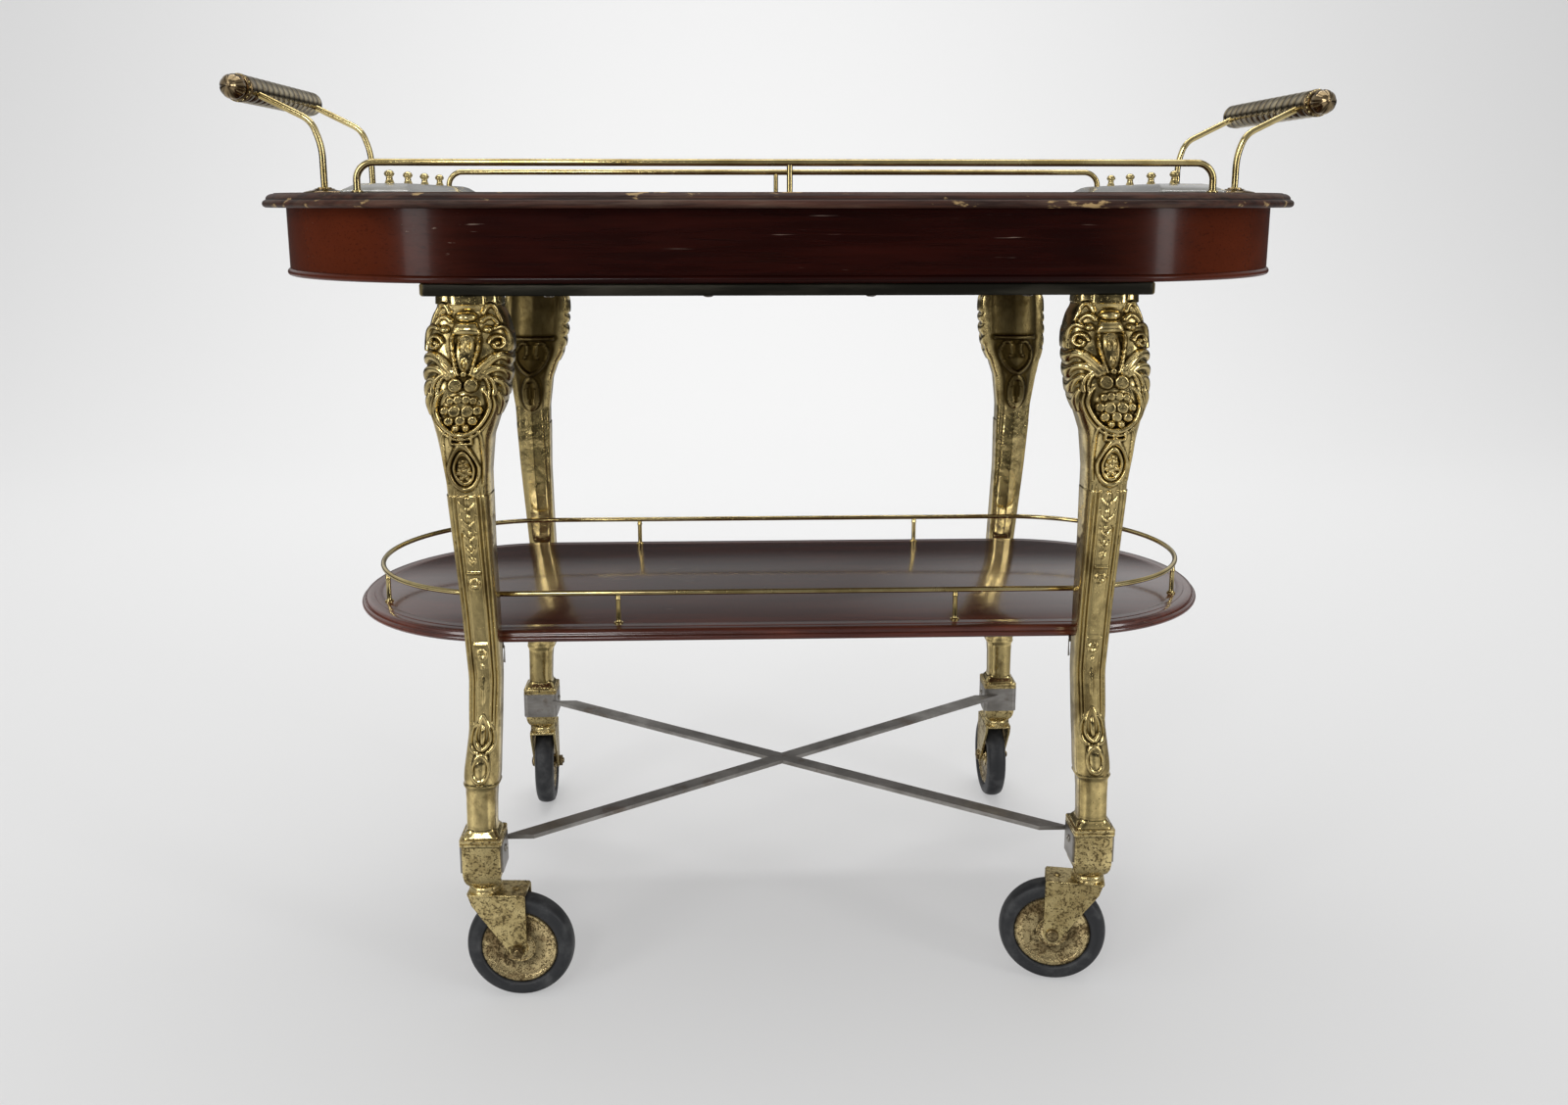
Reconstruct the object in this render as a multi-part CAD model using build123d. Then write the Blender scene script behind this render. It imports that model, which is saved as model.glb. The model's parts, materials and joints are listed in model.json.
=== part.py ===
from build123d import *
from math import acos, atan2, cos, degrees, hypot, pi, radians, sin
import os

os.makedirs("parts", exist_ok=True)

# Serving trolley: a mahogany box top on four cast brass legs, a lower shelf with a
# brass gallery, an end handle at each side and four swivel casters.
# Millimetres, +Z up, origin on the floor under the middle of the top.
# +X is the right-hand end, -Y is the front.

# ---- Driving sizes ---------------------------------------------------------------

top_length = 983.0          # top board, over the moulded edge
top_width = 473.0
top_thick = 13.0
top_setback = 20.5          # from the board's edge back to the apron
apron_height = 55.0
apron_wall = 12.0
bead_height = 6.5           # half-round moulding under the apron
bead_proud = 2.5
bottom_panel_thick = 4.0

rail_bar_length = 620.0     # flat bars that the legs bolt up to
rail_bar_width = 42.0
rail_bar_thick = 10.5

leg_spacing_x = 564.0       # between leg feet, centre to centre
leg_spacing_y = 382.0
leg_height = 491.5
foot_lean = {("back", "right"): -12.0}    # one leg is bent in at the foot

socket_side = 35.0          # square caster sockets
socket_lip = 1.6            # how far the top flange stands out
socket_lip_thick = 6.0
socket_height = 48.0        # flange top down to the swivel
socket_foot_side = 26.0

wheel_radius = 50.0
tyre_width = 22.0
hub_radius = 35.5
swivel_gap = 0.3
swivel_height = 7.7         # swivel bearing cup
fork_plate_thick = 3.0
fork_cheek_thick = 2.5
fork_trail = 31.0           # axle behind the swivel
fork_wheel_gap = 2.5        # tyre to fork plate
cheek_gap = 1.5             # tyre to cheek
stem_radius = 4.0
stem_length = 32.0
axle_radius = 4.0
running_clearance = 0.05    # radial, shafts in their bores

bracket_thick = 2.0         # steel U bracket round each socket
bracket_height = 28.0
stretcher_width = 16.0
stretcher_thick = 4.0
stretcher_drop = 7.5        # flange underside to the stretcher's upper face

shelf_length = 854.0
shelf_width = 336.0
shelf_thick = 11.0
shelf_height = 346.5        # upper face above the floor
shelf_bracket_width = 30.0
shelf_bracket_thick = 3.0
shelf_bracket_reach = 34.0
shelf_bracket_drop = 16.0

gallery_rod_radius = 2.5    # lower gallery
gallery_height = 29.0       # rod centre above the shelf
gallery_inset = 22.5        # rod centre in from the shelf's edge
gallery_post_x = 157.0
gallery_end_post_angle = 28.0

top_rod_radius = 3.0        # upper rails and handle rods
top_rail_length = 724.0
top_rail_inset = 52.0       # rod centre in from the board's long edge
top_rail_height = 24.5
top_rail_bend = 15.0
top_post_radius = 2.5
rod_seat_depth = 7.0        # how deep rods and studs enter the boards

strip_end_gap = 24.5        # raised end strips: from each end to the top rail
strip_width = 60.0
strip_thick = 8.2
strip_inset = 136.5         # strip centre in from the board's end
knob_count = 4
knob_spacing = 69.25
knob_radius = 5.0
knob_height = 12.0
knob_stud_radius = 1.5

handle_inset = 72.5         # rod centre in from the board's end
handle_spacing = 166.0
handle_reach = 63.0         # grip axis outward of the rods' feet
handle_rise = {"left": 90.5, "right": 80.0}      # grip axis above the board
handle_plate_length = 39.0
handle_plate_width = 27.0
handle_plate_thick = 5.2
grip_radius = 12.2
grip_length = 206.0
grip_rod_depth = 8.0
finial_radius = 11.5
finial_length = 28.0

# Swivel angle of each caster at rest: the way its wheel trails, from +X
trail_angle = {
    "front_left": -3.0,
    "front_right": 168.0,
    "back_left": 93.0,
    "back_right": 90.0,
}

# ---- Levels and places that follow from them -------------------------------------

fork_plate_z = 2 * wheel_radius + fork_wheel_gap
swivel_z = fork_plate_z + fork_plate_thick
socket_z = swivel_z + swivel_height + swivel_gap
flange_z = socket_z + socket_height
bar_z = flange_z + leg_height
bead_z = bar_z + rail_bar_thick
apron_z = bead_z + bead_height
board_z = apron_z + apron_height
top_z = board_z + top_thick

foot_x = leg_spacing_x / 2
leg_y = leg_spacing_y / 2
apron_length = top_length - 2 * top_setback
apron_width = top_width - 2 * top_setback
strip_length = top_width - 2 * (top_rail_inset + strip_end_gap)
side_sign = {"left": -1, "right": 1}
face_sign = {"front": -1, "back": 1}
corners = [(face, side) for face in face_sign for side in side_sign]
feet = {
    (face, side): (side_sign[side] * (foot_x + foot_lean.get((face, side), 0.0)),
                   face_sign[face] * leg_y)
    for face, side in corners
}

nodes = {}


# ---- Small helpers ---------------------------------------------------------------

def lathe(points, bulges=()):
    """Face in the XZ plane through these points. bulges maps a point's index to the
    middle point of the arc that leaves it."""
    bulges = dict(bulges)
    edges = []
    for i, start in enumerate(points):
        end = points[(i + 1) % len(points)]
        a = Vector(start[0], 0, start[1])
        b = Vector(end[0], 0, end[1])
        if i in bulges:
            mid = Vector(bulges[i][0], 0, bulges[i][1])
            edges.append(Edge.make_three_point_arc(a, mid, b))
        else:
            edges.append(Edge.make_line(a, b))
    return make_face(edges)


def turned(points, bulges=()):
    return revolve(lathe(points, bulges), Axis.Z)


def around(profile, straight):
    """A profile in the XZ plane carried round a stadium with this straight length."""
    facing = {"right": -90, "left": 90}
    parts = {}
    for side, sign in side_sign.items():
        start = Rot(0, 0, facing[side]) * profile
        parts[side] = Pos(sign * straight / 2, 0, 0) * revolve(start, Axis.Z, 180)
    for face, sign in face_sign.items():
        flank = Pos(-straight / 2, 0, 0) * (Rot(0, 0, sign * 90) * profile)
        parts[face] = extrude(flank, amount=straight, dir=(1, 0, 0))
    return parts


def moulded_board(length, width, thick, base, nose, step, cove):
    """A stadium board with a rounded nose, a small step and a cove up to its face."""
    r = width / 2
    nose_top = base + nose
    profile = lathe(
        [(0, base), (r - step, base), (r - step, nose_top), (r - step - 1, nose_top),
         (r - step - 1, nose_top + 1), (r - cove, base + thick), (0, base + thick)],
        {1: (r, base + nose / 2),
         4: (r - (step + cove) / 2 - 1.2, base + thick - (thick - nose) / 3)},
    )
    parts = around(profile, length - width)
    return parts["left"] + parts["right"] + parts["front"] + parts["back"]


def rod_along(points, radii, radius):
    path = FilletPolyline(*points, radius=radii)
    start = path.position_at(0)
    section = Plane(origin=start, z_dir=path.tangent_at(0)) * Circle(radius)
    return sweep(section, path)


def upright(x, y, low, high, radius):
    return Pos(x, y, (low + high) / 2) * Cylinder(radius, high - low)


def cap_middle(edge_radius, edge_z, top_z):
    """Middle point of the arc from an edge to the axis, on a sphere about the axis."""
    rise = top_z - edge_z
    sphere = (edge_radius**2 + rise**2) / (2 * rise)
    centre = top_z - sphere
    half_angle = atan2(edge_radius, edge_z - centre) / 2
    return (sphere * sin(half_angle), centre + sphere * cos(half_angle))


def screw(head_radius, head_height, shank_radius, shank_length):
    """A round-head screw, its head's seat at the origin and its shank along -Z."""
    head = turned([(0, 0), (head_radius, 0), (0, head_height)],
                  {1: cap_middle(head_radius, 0, head_height)})
    return head + upright(0, 0, -shank_length, 0, shank_radius)


# ---- Mahogany box top ------------------------------------------------------------

board = moulded_board(top_length, top_width, top_thick, board_z, 7.0, 2.6, 11.0)

straight = top_length - top_width
apron_r = apron_width / 2
apron_profile = lathe([(apron_r - apron_wall, apron_z), (apron_r, apron_z),
                       (apron_r, board_z), (apron_r - apron_wall, board_z)])
for name, solid in around(apron_profile, straight).items():
    nodes["apron_" + name] = solid

bead_r = apron_r + bead_proud
bead_inner = apron_r - apron_wall
bead_profile = lathe(
    [(bead_inner, bead_z), (bead_r - bead_height / 2, bead_z),
     (bead_r - bead_height / 2, apron_z), (bead_inner, apron_z)],
    {1: (bead_r, bead_z + bead_height / 2)},
)
bead = around(bead_profile, straight)
nodes["apron_bead"] = bead["left"] + bead["right"] + bead["front"] + bead["back"]

panel_sketch = SlotOverall(straight + 2 * bead_inner, 2 * bead_inner)
bottom_panel = Pos(0, 0, bead_z) * extrude(panel_sketch, bottom_panel_thick)

# ---- Flat bars under the top -----------------------------------------------------

bars = {}
for face, sign in face_sign.items():
    outline = RectangleRounded(rail_bar_length, rail_bar_width, 6.0)
    bars[face] = Pos(0, sign * leg_y, bar_z) * extrude(outline, rail_bar_thick)

# ---- Cast legs -------------------------------------------------------------------
# Each station: height share, half width, half depth, outward shift in X from the foot,
# outward shift in Y, corner radius

leg_stations = [
    (0.000, 17.0, 17.0, 0.0, 0.0, 3.0),
    (0.016, 14.6, 14.6, 0.0, 0.0, 6.0),
    (0.040, 14.2, 14.2, 0.0, 0.0, 7.0),
    (0.125, 17.3, 17.0, -2.5, 1.0, 8.0),
    (0.200, 15.6, 15.5, -6.5, 0.0, 6.0),
    (0.310, 15.0, 14.5, -9.4, -3.0, 5.0),
    (0.440, 16.8, 16.0, -7.0, -4.0, 5.0),
    (0.550, 18.4, 17.5, -4.5, -3.0, 5.0),
    (0.690, 21.1, 21.0, -3.1, 1.0, 7.0),
    (0.755, 25.6, 25.0, -2.7, 3.5, 9.0),
    (0.830, 36.7, 29.0, -6.2, 4.5, 12.0),
    (0.915, 38.0, 27.0, -10.4, 3.0, 12.0),
    (0.960, 35.5, 23.5, -11.0, 1.0, 9.0),
    (1.000, 28.5, 19.0, -11.0, 0.0, 7.0),
]


def leg(face, side):
    lean = foot_lean.get((face, side), 0.0)
    sections = []
    for share, half_w, half_d, out_x, out_y, corner in leg_stations:
        x = side_sign[side] * (foot_x + out_x + lean * (1 - share))
        y = face_sign[face] * (leg_y + out_y)
        outline = RectangleRounded(2 * half_w, 2 * half_d, corner)
        sections.append(Pos(x, y, flange_z + share * leg_height) * outline)
    return loft(sections)


legs = {corner: leg(*corner) for corner in corners}

# ---- Caster sockets and their steel brackets -------------------------------------

stem_bore = stem_radius + running_clearance
flange_side = socket_side + 2 * socket_lip
lip_z = flange_z - socket_lip_thick
taper_z = socket_z + 0.28 * socket_height


def socket():
    body = extrude(Pos(0, 0, taper_z) * RectangleRounded(socket_side, socket_side, 3.0),
                   lip_z - taper_z)
    foot = loft([Pos(0, 0, socket_z) * RectangleRounded(socket_foot_side,
                                                         socket_foot_side, 11.0),
                 Pos(0, 0, taper_z) * RectangleRounded(socket_side, socket_side, 3.0)])
    lip = Pos(0, 0, lip_z) * extrude(RectangleRounded(flange_side, flange_side, 2.5),
                                     socket_lip_thick)
    bore = upright(0, 0, socket_z - 1, socket_z + stem_length + 1.0, stem_bore)
    return body + foot + lip - bore


def bracket(face, side):
    """U of steel strip round the inner face and both ends of a socket."""
    low = lip_z - bracket_height
    outer = socket_side / 2 + bracket_thick
    wrap = extrude(RectangleRounded(2 * outer, 2 * outer, 3.0 + bracket_thick),
                   bracket_height)
    core = extrude(RectangleRounded(socket_side, socket_side, 3.0), bracket_height)
    open_side = Pos(0, face_sign[face] * outer, bracket_height / 2) * Box(
        4 * outer, 12.0, bracket_height)
    shell = Pos(0, 0, low) * (wrap - core - open_side)
    return shell


socket_shape = socket()
sockets = {}
brackets = {}
for face, side in corners:
    place = Pos(*feet[face, side], 0)
    sockets[face, side] = place * socket_shape
    brackets[face, side] = place * bracket(face, side)

# ---- Crossed stretcher -----------------------------------------------------------

stretcher_z = lip_z - stretcher_drop - stretcher_thick
bracket_face_y = leg_y - socket_side / 2 - bracket_thick
cross_angle = degrees(atan2(leg_y, foot_x))
overlong = 2 * hypot(foot_x, leg_y) + 4 * socket_side


def stretcher(angle):
    bar = Pos(0, 0, stretcher_z + stretcher_thick / 2) * Rot(0, 0, angle) * Box(
        overlong, stretcher_width, stretcher_thick)
    keep = Pos(0, 0, stretcher_z + stretcher_thick / 2) * Box(
        overlong, 2 * bracket_face_y, 2 * stretcher_thick)
    return bar & keep


rising = stretcher(cross_angle)
falling = stretcher(-cross_angle)
half_lap = Pos(0, 0, stretcher_z + 0.75 * stretcher_thick) * Box(
    200, 200, stretcher_thick / 2)
crossing = rising & falling
upper_lap = crossing & half_lap
nodes["stretcher_bar_a"] = rising - upper_lap
nodes["stretcher_bar_b"] = falling - (crossing - upper_lap)

# ---- Lower shelf and its brackets ------------------------------------------------

shelf_z = shelf_height - shelf_thick
shelf = moulded_board(shelf_length, shelf_width, shelf_thick, shelf_z, 6.0, 2.6, 20.0)


def shelf_bracket(face, side):
    """Steel angle: a tapered tab under the shelf and a flange on the leg."""
    x = side_sign[side] * (foot_x - 9.0)
    sign = face_sign[face]
    leg_face = leg_y - 14.0
    tab = Polygon((-shelf_bracket_width / 4, -shelf_bracket_reach),
                  (shelf_bracket_width / 4, -shelf_bracket_reach),
                  (shelf_bracket_width / 2, 0), (-shelf_bracket_width / 2, 0), align=None)
    turn = 0 if sign > 0 else 180
    flat = Pos(x, sign * leg_face, shelf_z - shelf_bracket_thick) * Rot(0, 0, turn) * (
        extrude(tab, shelf_bracket_thick))
    flange = Pos(x, sign * (leg_face - shelf_bracket_thick / 2),
                 shelf_z - shelf_bracket_drop / 2) * Box(
        shelf_bracket_width, shelf_bracket_thick, shelf_bracket_drop)
    return flat + flange - legs[face, side]


shelf_brackets = {corner: shelf_bracket(*corner) for corner in corners}

# ---- Lower gallery ---------------------------------------------------------------

gallery_z = shelf_height + gallery_height
gallery_r = shelf_width / 2 - gallery_inset
shelf_straight = shelf_length - shelf_width
rod_section = Pos(gallery_r, 0, gallery_z) * (Plane.XZ * Circle(gallery_rod_radius))
gallery = around(rod_section, shelf_straight)

gallery_posts = []
for sign in face_sign.values():
    for x in (-gallery_post_x, gallery_post_x):
        gallery_posts.append((x, sign * gallery_r))
for sign in side_sign.values():
    reach = shelf_straight / 2 + gallery_r * cos(radians(gallery_end_post_angle))
    gallery_posts.append((sign * reach,
                          -gallery_r * sin(radians(gallery_end_post_angle))))

posts = []
for x, y in gallery_posts:
    post = upright(x, y, shelf_height - rod_seat_depth, gallery_z, gallery_rod_radius)
    for part in gallery.values():
        post = post - part
    posts.append(post)
    shelf = shelf - upright(x, y, shelf_height - rod_seat_depth, shelf_height + 1,
                            gallery_rod_radius)

# ---- Top rails -------------------------------------------------------------------

rail_y = top_width / 2 - top_rail_inset
rail_z = top_z + top_rail_height
seat_z = top_z - rod_seat_depth
top_posts = []
for face, sign in face_sign.items():
    half = top_rail_length / 2
    y = sign * rail_y
    rail = rod_along([(-half, y, seat_z), (-half, y, rail_z), (half, y, rail_z),
                      (half, y, seat_z)], top_rail_bend, top_rod_radius)
    nodes["top_rail_" + face] = rail
    post = upright(0, y, seat_z, rail_z, top_post_radius) - rail
    top_posts.append(post)
    for x in (-half, half):
        board = board - upright(x, y, seat_z, top_z + 1, top_rod_radius)
    board = board - upright(0, y, seat_z, top_z + 1, top_post_radius)

# ---- End strips and knobs --------------------------------------------------------

strip_x = top_length / 2 - strip_inset
knob_z = top_z + strip_thick
r = knob_radius
ball = 0.92 * r
neck = 0.45 * r
ring_top = knob_height - ball
ring_base = ring_top - 0.1 * knob_height
dip = acos(neck / ball)
neck_z = ring_base - ball * sin(dip)
knob_shape = turned(
    [(0, 0), (0.9 * r, 0), (0.9 * r, 0.2 * neck_z), (0.5 * r, 0.55 * neck_z),
     (0.66 * r, 0.72 * neck_z), (0.66 * r, 0.88 * neck_z), (neck, neck_z),
     (ball, ring_base), (ball, ring_top), (0, knob_height)],
    {6: (ball * cos(dip / 2), ring_base - ball * sin(dip / 2)),
     8: cap_middle(ball, ring_top, knob_height)},
)
for side, sign in side_sign.items():
    strip = Pos(sign * strip_x, 0, top_z) * extrude(
        RectangleRounded(strip_width, strip_length, 6.0), strip_thick)
    knobs = []
    for i in range(knob_count):
        y = (i - (knob_count - 1) / 2) * knob_spacing
        stud = upright(0, 0, seat_z - knob_z, 0, knob_stud_radius)
        knobs.append(Pos(sign * strip_x, y, knob_z) * (knob_shape + stud))
        hole = upright(sign * strip_x, y, seat_z, knob_z + 1, knob_stud_radius)
        strip = strip - hole
        board = board - hole
    nodes["end_strip_" + side] = strip
    nodes["knobs_" + side] = Compound(knobs)

# ---- End handles -----------------------------------------------------------------

handle_x = top_length / 2 - handle_inset
handle_y = handle_spacing / 2
plates = []
for side, sign in side_sign.items():
    grip_x = handle_x + handle_reach
    grip_z = top_z + handle_rise[side]
    knee_z = grip_z - 0.42 * handle_reach
    rods = []
    for y in (-handle_y, handle_y):
        end_x = grip_x - grip_radius + grip_rod_depth
        end_z = grip_z - 0.3 * (grip_radius - grip_rod_depth)
        rods.append(rod_along(
            [(sign * handle_x, y, seat_z),
             (sign * handle_x, y, top_z + 0.45 * handle_rise[side]),
             (sign * (handle_x + 8.0), y, knee_z),
             (sign * end_x, y, end_z)],
            [40.0, 14.0], top_rod_radius))
        plate = turned([(0, 0), (1, 0), (0.78, 1), (0, 1)], {1: (0.97, 0.62)})
        plate = scale(plate, by=(handle_plate_length / 2, handle_plate_width / 2,
                                 handle_plate_thick))
        plate = Pos(sign * handle_x, y, top_z) * plate
        hole = upright(sign * handle_x, y, seat_z, top_z + 20, top_rod_radius)
        plates.append(plate - hole)
        board = board - hole
    grip = Pos(sign * grip_x, 0, grip_z) * Rot(90, 0, 0) * Cylinder(
        grip_radius, grip_length)
    grip = fillet(grip.faces().sort_by(Axis.Y)[-1].edges(), 4.0)
    for rod in rods:
        grip = grip - rod
    nodes["grip_" + side] = grip
    nodes["handle_rods_" + side] = Compound(rods)
    bullet = finial_length - finial_radius
    finial = turned(
        [(0, 0), (grip_radius, 0), (grip_radius, 4.0), (finial_radius - 1.5, 5.5),
         (finial_radius, 8.0), (finial_radius, bullet), (0, finial_length)],
        {1: (grip_radius + 0.6, 2.0), 3: (finial_radius - 0.2, 6.2),
         5: (finial_radius * cos(pi / 4), bullet + finial_radius * sin(pi / 4))},
    )
    nodes["finial_" + side] = Pos(sign * grip_x, -grip_length / 2, grip_z) * (
        Rot(90, 0, 0) * finial)

# ---- Screws ----------------------------------------------------------------------
# Each place: position of the head's seat, then the turn that aims the shank

bar_screw = screw(5.0, 2.5, 2.0, rail_bar_thick + bottom_panel_thick - 1.0)
shelf_screw = screw(4.0, 2.0, 1.75, shelf_bracket_thick + 0.6 * shelf_thick)
socket_screw = screw(3.5, 2.0, 1.75, bracket_thick + 4.0)
screws = []
for face, sign in face_sign.items():
    for share in (-0.5, -0.17, 0.17, 0.5):
        place = Pos(share * 0.66 * rail_bar_length, sign * leg_y, bar_z) * Rot(180, 0, 0)
        placed = place * bar_screw
        bars[face] = bars[face] - placed
        bottom_panel = bottom_panel - placed
        screws.append(placed)
    for side, side_way in side_sign.items():
        x = side_way * (foot_x - 9.0)
        y = sign * (leg_y - 14.0 - 0.72 * shelf_bracket_reach)
        placed = Pos(x, y, shelf_z - shelf_bracket_thick) * Rot(180, 0, 0) * shelf_screw
        shelf_brackets[face, side] = shelf_brackets[face, side] - placed
        shelf = shelf - placed
        screws.append(placed)
        x = feet[face, side][0] - side_way * (socket_side / 2 + bracket_thick)
        placed = Pos(x, sign * leg_y, lip_z - 0.36 * bracket_height) * (
            Rot(0, -90 * side_way, 0) * socket_screw)
        brackets[face, side] = brackets[face, side] - placed
        sockets[face, side] = sockets[face, side] - placed
        screws.append(placed)

# ---- Casters ---------------------------------------------------------------------

cheek_inner = tyre_width / 2 + cheek_gap
cheek_outer = cheek_inner + fork_cheek_thick
hub_boss = 14.0
hub_bore = axle_radius + running_clearance


def fork():
    back = -15.5
    front = fork_trail + 8.0
    plate = Pos((back + front) / 2, 0, fork_plate_z + fork_plate_thick / 2) * Box(
        front - back, 2 * cheek_outer, fork_plate_thick)
    plate = fillet(plate.edges().filter_by(Axis.Z), 5.0)
    outline = Polygon((back + 5, fork_plate_z - 8), (fork_trail - 7.5, wheel_radius - 4.5),
                      (front, wheel_radius), (front, swivel_z), (back + 2, swivel_z),
                      align=None) + Pos(fork_trail, wheel_radius) * Circle(8.0)
    cheek = extrude(Plane.XZ * outline, fork_cheek_thick)
    far_cheek = Pos(0, cheek_outer, 0) * cheek
    near_cheek = Pos(0, -cheek_inner, 0) * cheek
    cup = turned([(0, swivel_z), (15.0, swivel_z), (13.0, swivel_z + swivel_height),
                  (0, swivel_z + swivel_height)],
                 {1: (14.8, swivel_z + 0.7 * swivel_height)})
    stem = upright(0, 0, swivel_z, socket_z + stem_length, stem_radius)
    axle_hole = Pos(fork_trail, 0, wheel_radius) * Rot(90, 0, 0) * Cylinder(
        axle_radius, 4 * cheek_outer)
    return plate + far_cheek + near_cheek + cup + stem - axle_hole


def axle():
    shank = Cylinder(axle_radius, 2 * cheek_outer)
    head = Pos(0, 0, cheek_outer) * turned(
        [(0, 0), (6.5, 0), (5.5, 3.0), (0, 3.6)], {1: (6.4, 2.2)})
    nut = Pos(0, 0, -cheek_outer) * extrude(RegularPolygon(6.5, 6), -4.0)
    tip = Pos(0, 0, -cheek_outer - 5.0) * Cylinder(axle_radius - 0.5, 2.0)
    return Rot(90, 0, 0) * (shank + head + nut + tip)


def hub():
    step = 0.5 * tyre_width - 3.0
    face = step + 1.0
    boss = tyre_width / 2 + 0.5
    half = [(hub_bore, -boss), (8.0, -boss), (8.5, -face), (hub_boss, -face),
            (hub_boss + 1.0, -step), (hub_radius - 4, -step), (hub_radius, -face),
            (hub_radius, face), (hub_radius - 4, step), (hub_boss + 1.0, step),
            (hub_boss, face), (8.5, face), (8.0, boss), (hub_bore, boss)]
    return Rot(90, 0, 0) * turned(half)


def tyre():
    half = tyre_width / 2
    crown = wheel_radius - 4.0
    return Rot(90, 0, 0) * turned(
        [(hub_radius, -half + 2.5), (hub_radius + 3, -half), (crown, -half),
         (crown, half), (hub_radius + 3, half), (hub_radius, half - 2.5)],
        {2: (wheel_radius, 0)})


fork_shape = fork()
wheel_place = Pos(fork_trail, 0, wheel_radius)
axle_shape = wheel_place * axle()
hub_shape = wheel_place * hub()
tyre_shape = wheel_place * tyre()
for face, side in corners:
    tag = face + "_" + side
    place = Pos(*feet[face, side], 0) * Rot(0, 0, trail_angle[tag])
    nodes["caster_fork_" + tag] = place * fork_shape
    nodes["caster_axle_" + tag] = place * axle_shape
    nodes["wheel_hub_" + tag] = place * hub_shape
    nodes["wheel_tyre_" + tag] = place * tyre_shape

# ---- Collect and write -----------------------------------------------------------

nodes["top_board"] = board
nodes["bottom_panel"] = bottom_panel
nodes["lower_shelf"] = shelf
for face, bar in bars.items():
    nodes["rail_bar_" + face] = bar
for face, side in corners:
    nodes["leg_" + face + "_" + side] = legs[face, side]
    nodes["caster_socket_" + face + "_" + side] = sockets[face, side]
nodes["socket_brackets"] = Compound(list(brackets.values()))
nodes["shelf_brackets"] = Compound(list(shelf_brackets.values()))
for name, part in gallery.items():
    nodes["gallery_rail_" + name] = part
nodes["gallery_posts"] = Compound(posts)
nodes["top_rail_posts"] = Compound(top_posts)
nodes["handle_plates"] = Compound(plates)
nodes["screws"] = Compound(screws)

# The origin is under the middle of the whole trolley, with the casters as they stand
boxes = [shape.bounding_box() for shape in nodes.values()]
shift_x = -(min(b.min.X for b in boxes) + max(b.max.X for b in boxes)) / 2
shift_y = -(min(b.min.Y for b in boxes) + max(b.max.Y for b in boxes)) / 2
for name, shape in nodes.items():
    export_step(Pos(shift_x, shift_y, 0) * shape, "parts/" + name + ".step")
print(len(nodes), "nodes, moved by", round(shift_x, 3), round(shift_y, 3), "mm")
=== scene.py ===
import json
from math import atan2, cos, hypot, pi, radians, sin, sqrt

import bmesh
import bpy
import numpy as np
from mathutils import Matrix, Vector


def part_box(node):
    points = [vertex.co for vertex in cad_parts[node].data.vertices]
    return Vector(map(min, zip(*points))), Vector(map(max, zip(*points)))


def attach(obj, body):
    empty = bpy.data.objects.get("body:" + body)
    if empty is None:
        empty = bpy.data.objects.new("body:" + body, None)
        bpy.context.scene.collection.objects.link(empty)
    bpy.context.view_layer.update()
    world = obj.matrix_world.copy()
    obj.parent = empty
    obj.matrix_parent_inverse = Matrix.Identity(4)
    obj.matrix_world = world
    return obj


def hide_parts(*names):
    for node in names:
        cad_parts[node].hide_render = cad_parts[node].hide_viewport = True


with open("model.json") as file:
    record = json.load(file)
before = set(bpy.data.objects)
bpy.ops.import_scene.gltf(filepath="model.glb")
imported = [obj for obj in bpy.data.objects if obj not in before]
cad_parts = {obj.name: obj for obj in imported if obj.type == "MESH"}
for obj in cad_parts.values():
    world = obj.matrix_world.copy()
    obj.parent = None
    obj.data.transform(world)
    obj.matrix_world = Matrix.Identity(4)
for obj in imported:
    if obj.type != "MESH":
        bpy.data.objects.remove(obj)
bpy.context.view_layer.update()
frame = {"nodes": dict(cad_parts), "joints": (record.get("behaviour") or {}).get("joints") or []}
mm = 0.001


def boxOf(node):
    low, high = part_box(node)
    return np.array(low) / mm, np.array(high) / mm


corners = [(face, side) for face in ("front", "back") for side in ("left", "right")]
sideSign = {"left": -1, "right": 1}
faceSign = {"front": -1, "back": 1}
joints = {j["name"]: j for j in frame["joints"]}
boardLow, boardHigh = boxOf("top_board")
midY = (boardLow[1] + boardHigh[1]) / 2


def gridFaces(rows, columns, wrapRows=False):
    # Quads over rows of points that close round; open ends get a cap.
    faces = []
    lastRow = rows if wrapRows else rows - 1
    for i in range(lastRow):
        k = (i + 1) % rows
        for j in range(columns):
            n = (j + 1) % columns
            faces.append((i * columns + j, i * columns + n, k * columns + n, k * columns + j))
    if not wrapRows:
        faces.append(tuple(range(columns - 1, -1, -1)))
        faces.append(tuple((rows - 1) * columns + j for j in range(columns)))
    return faces


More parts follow.
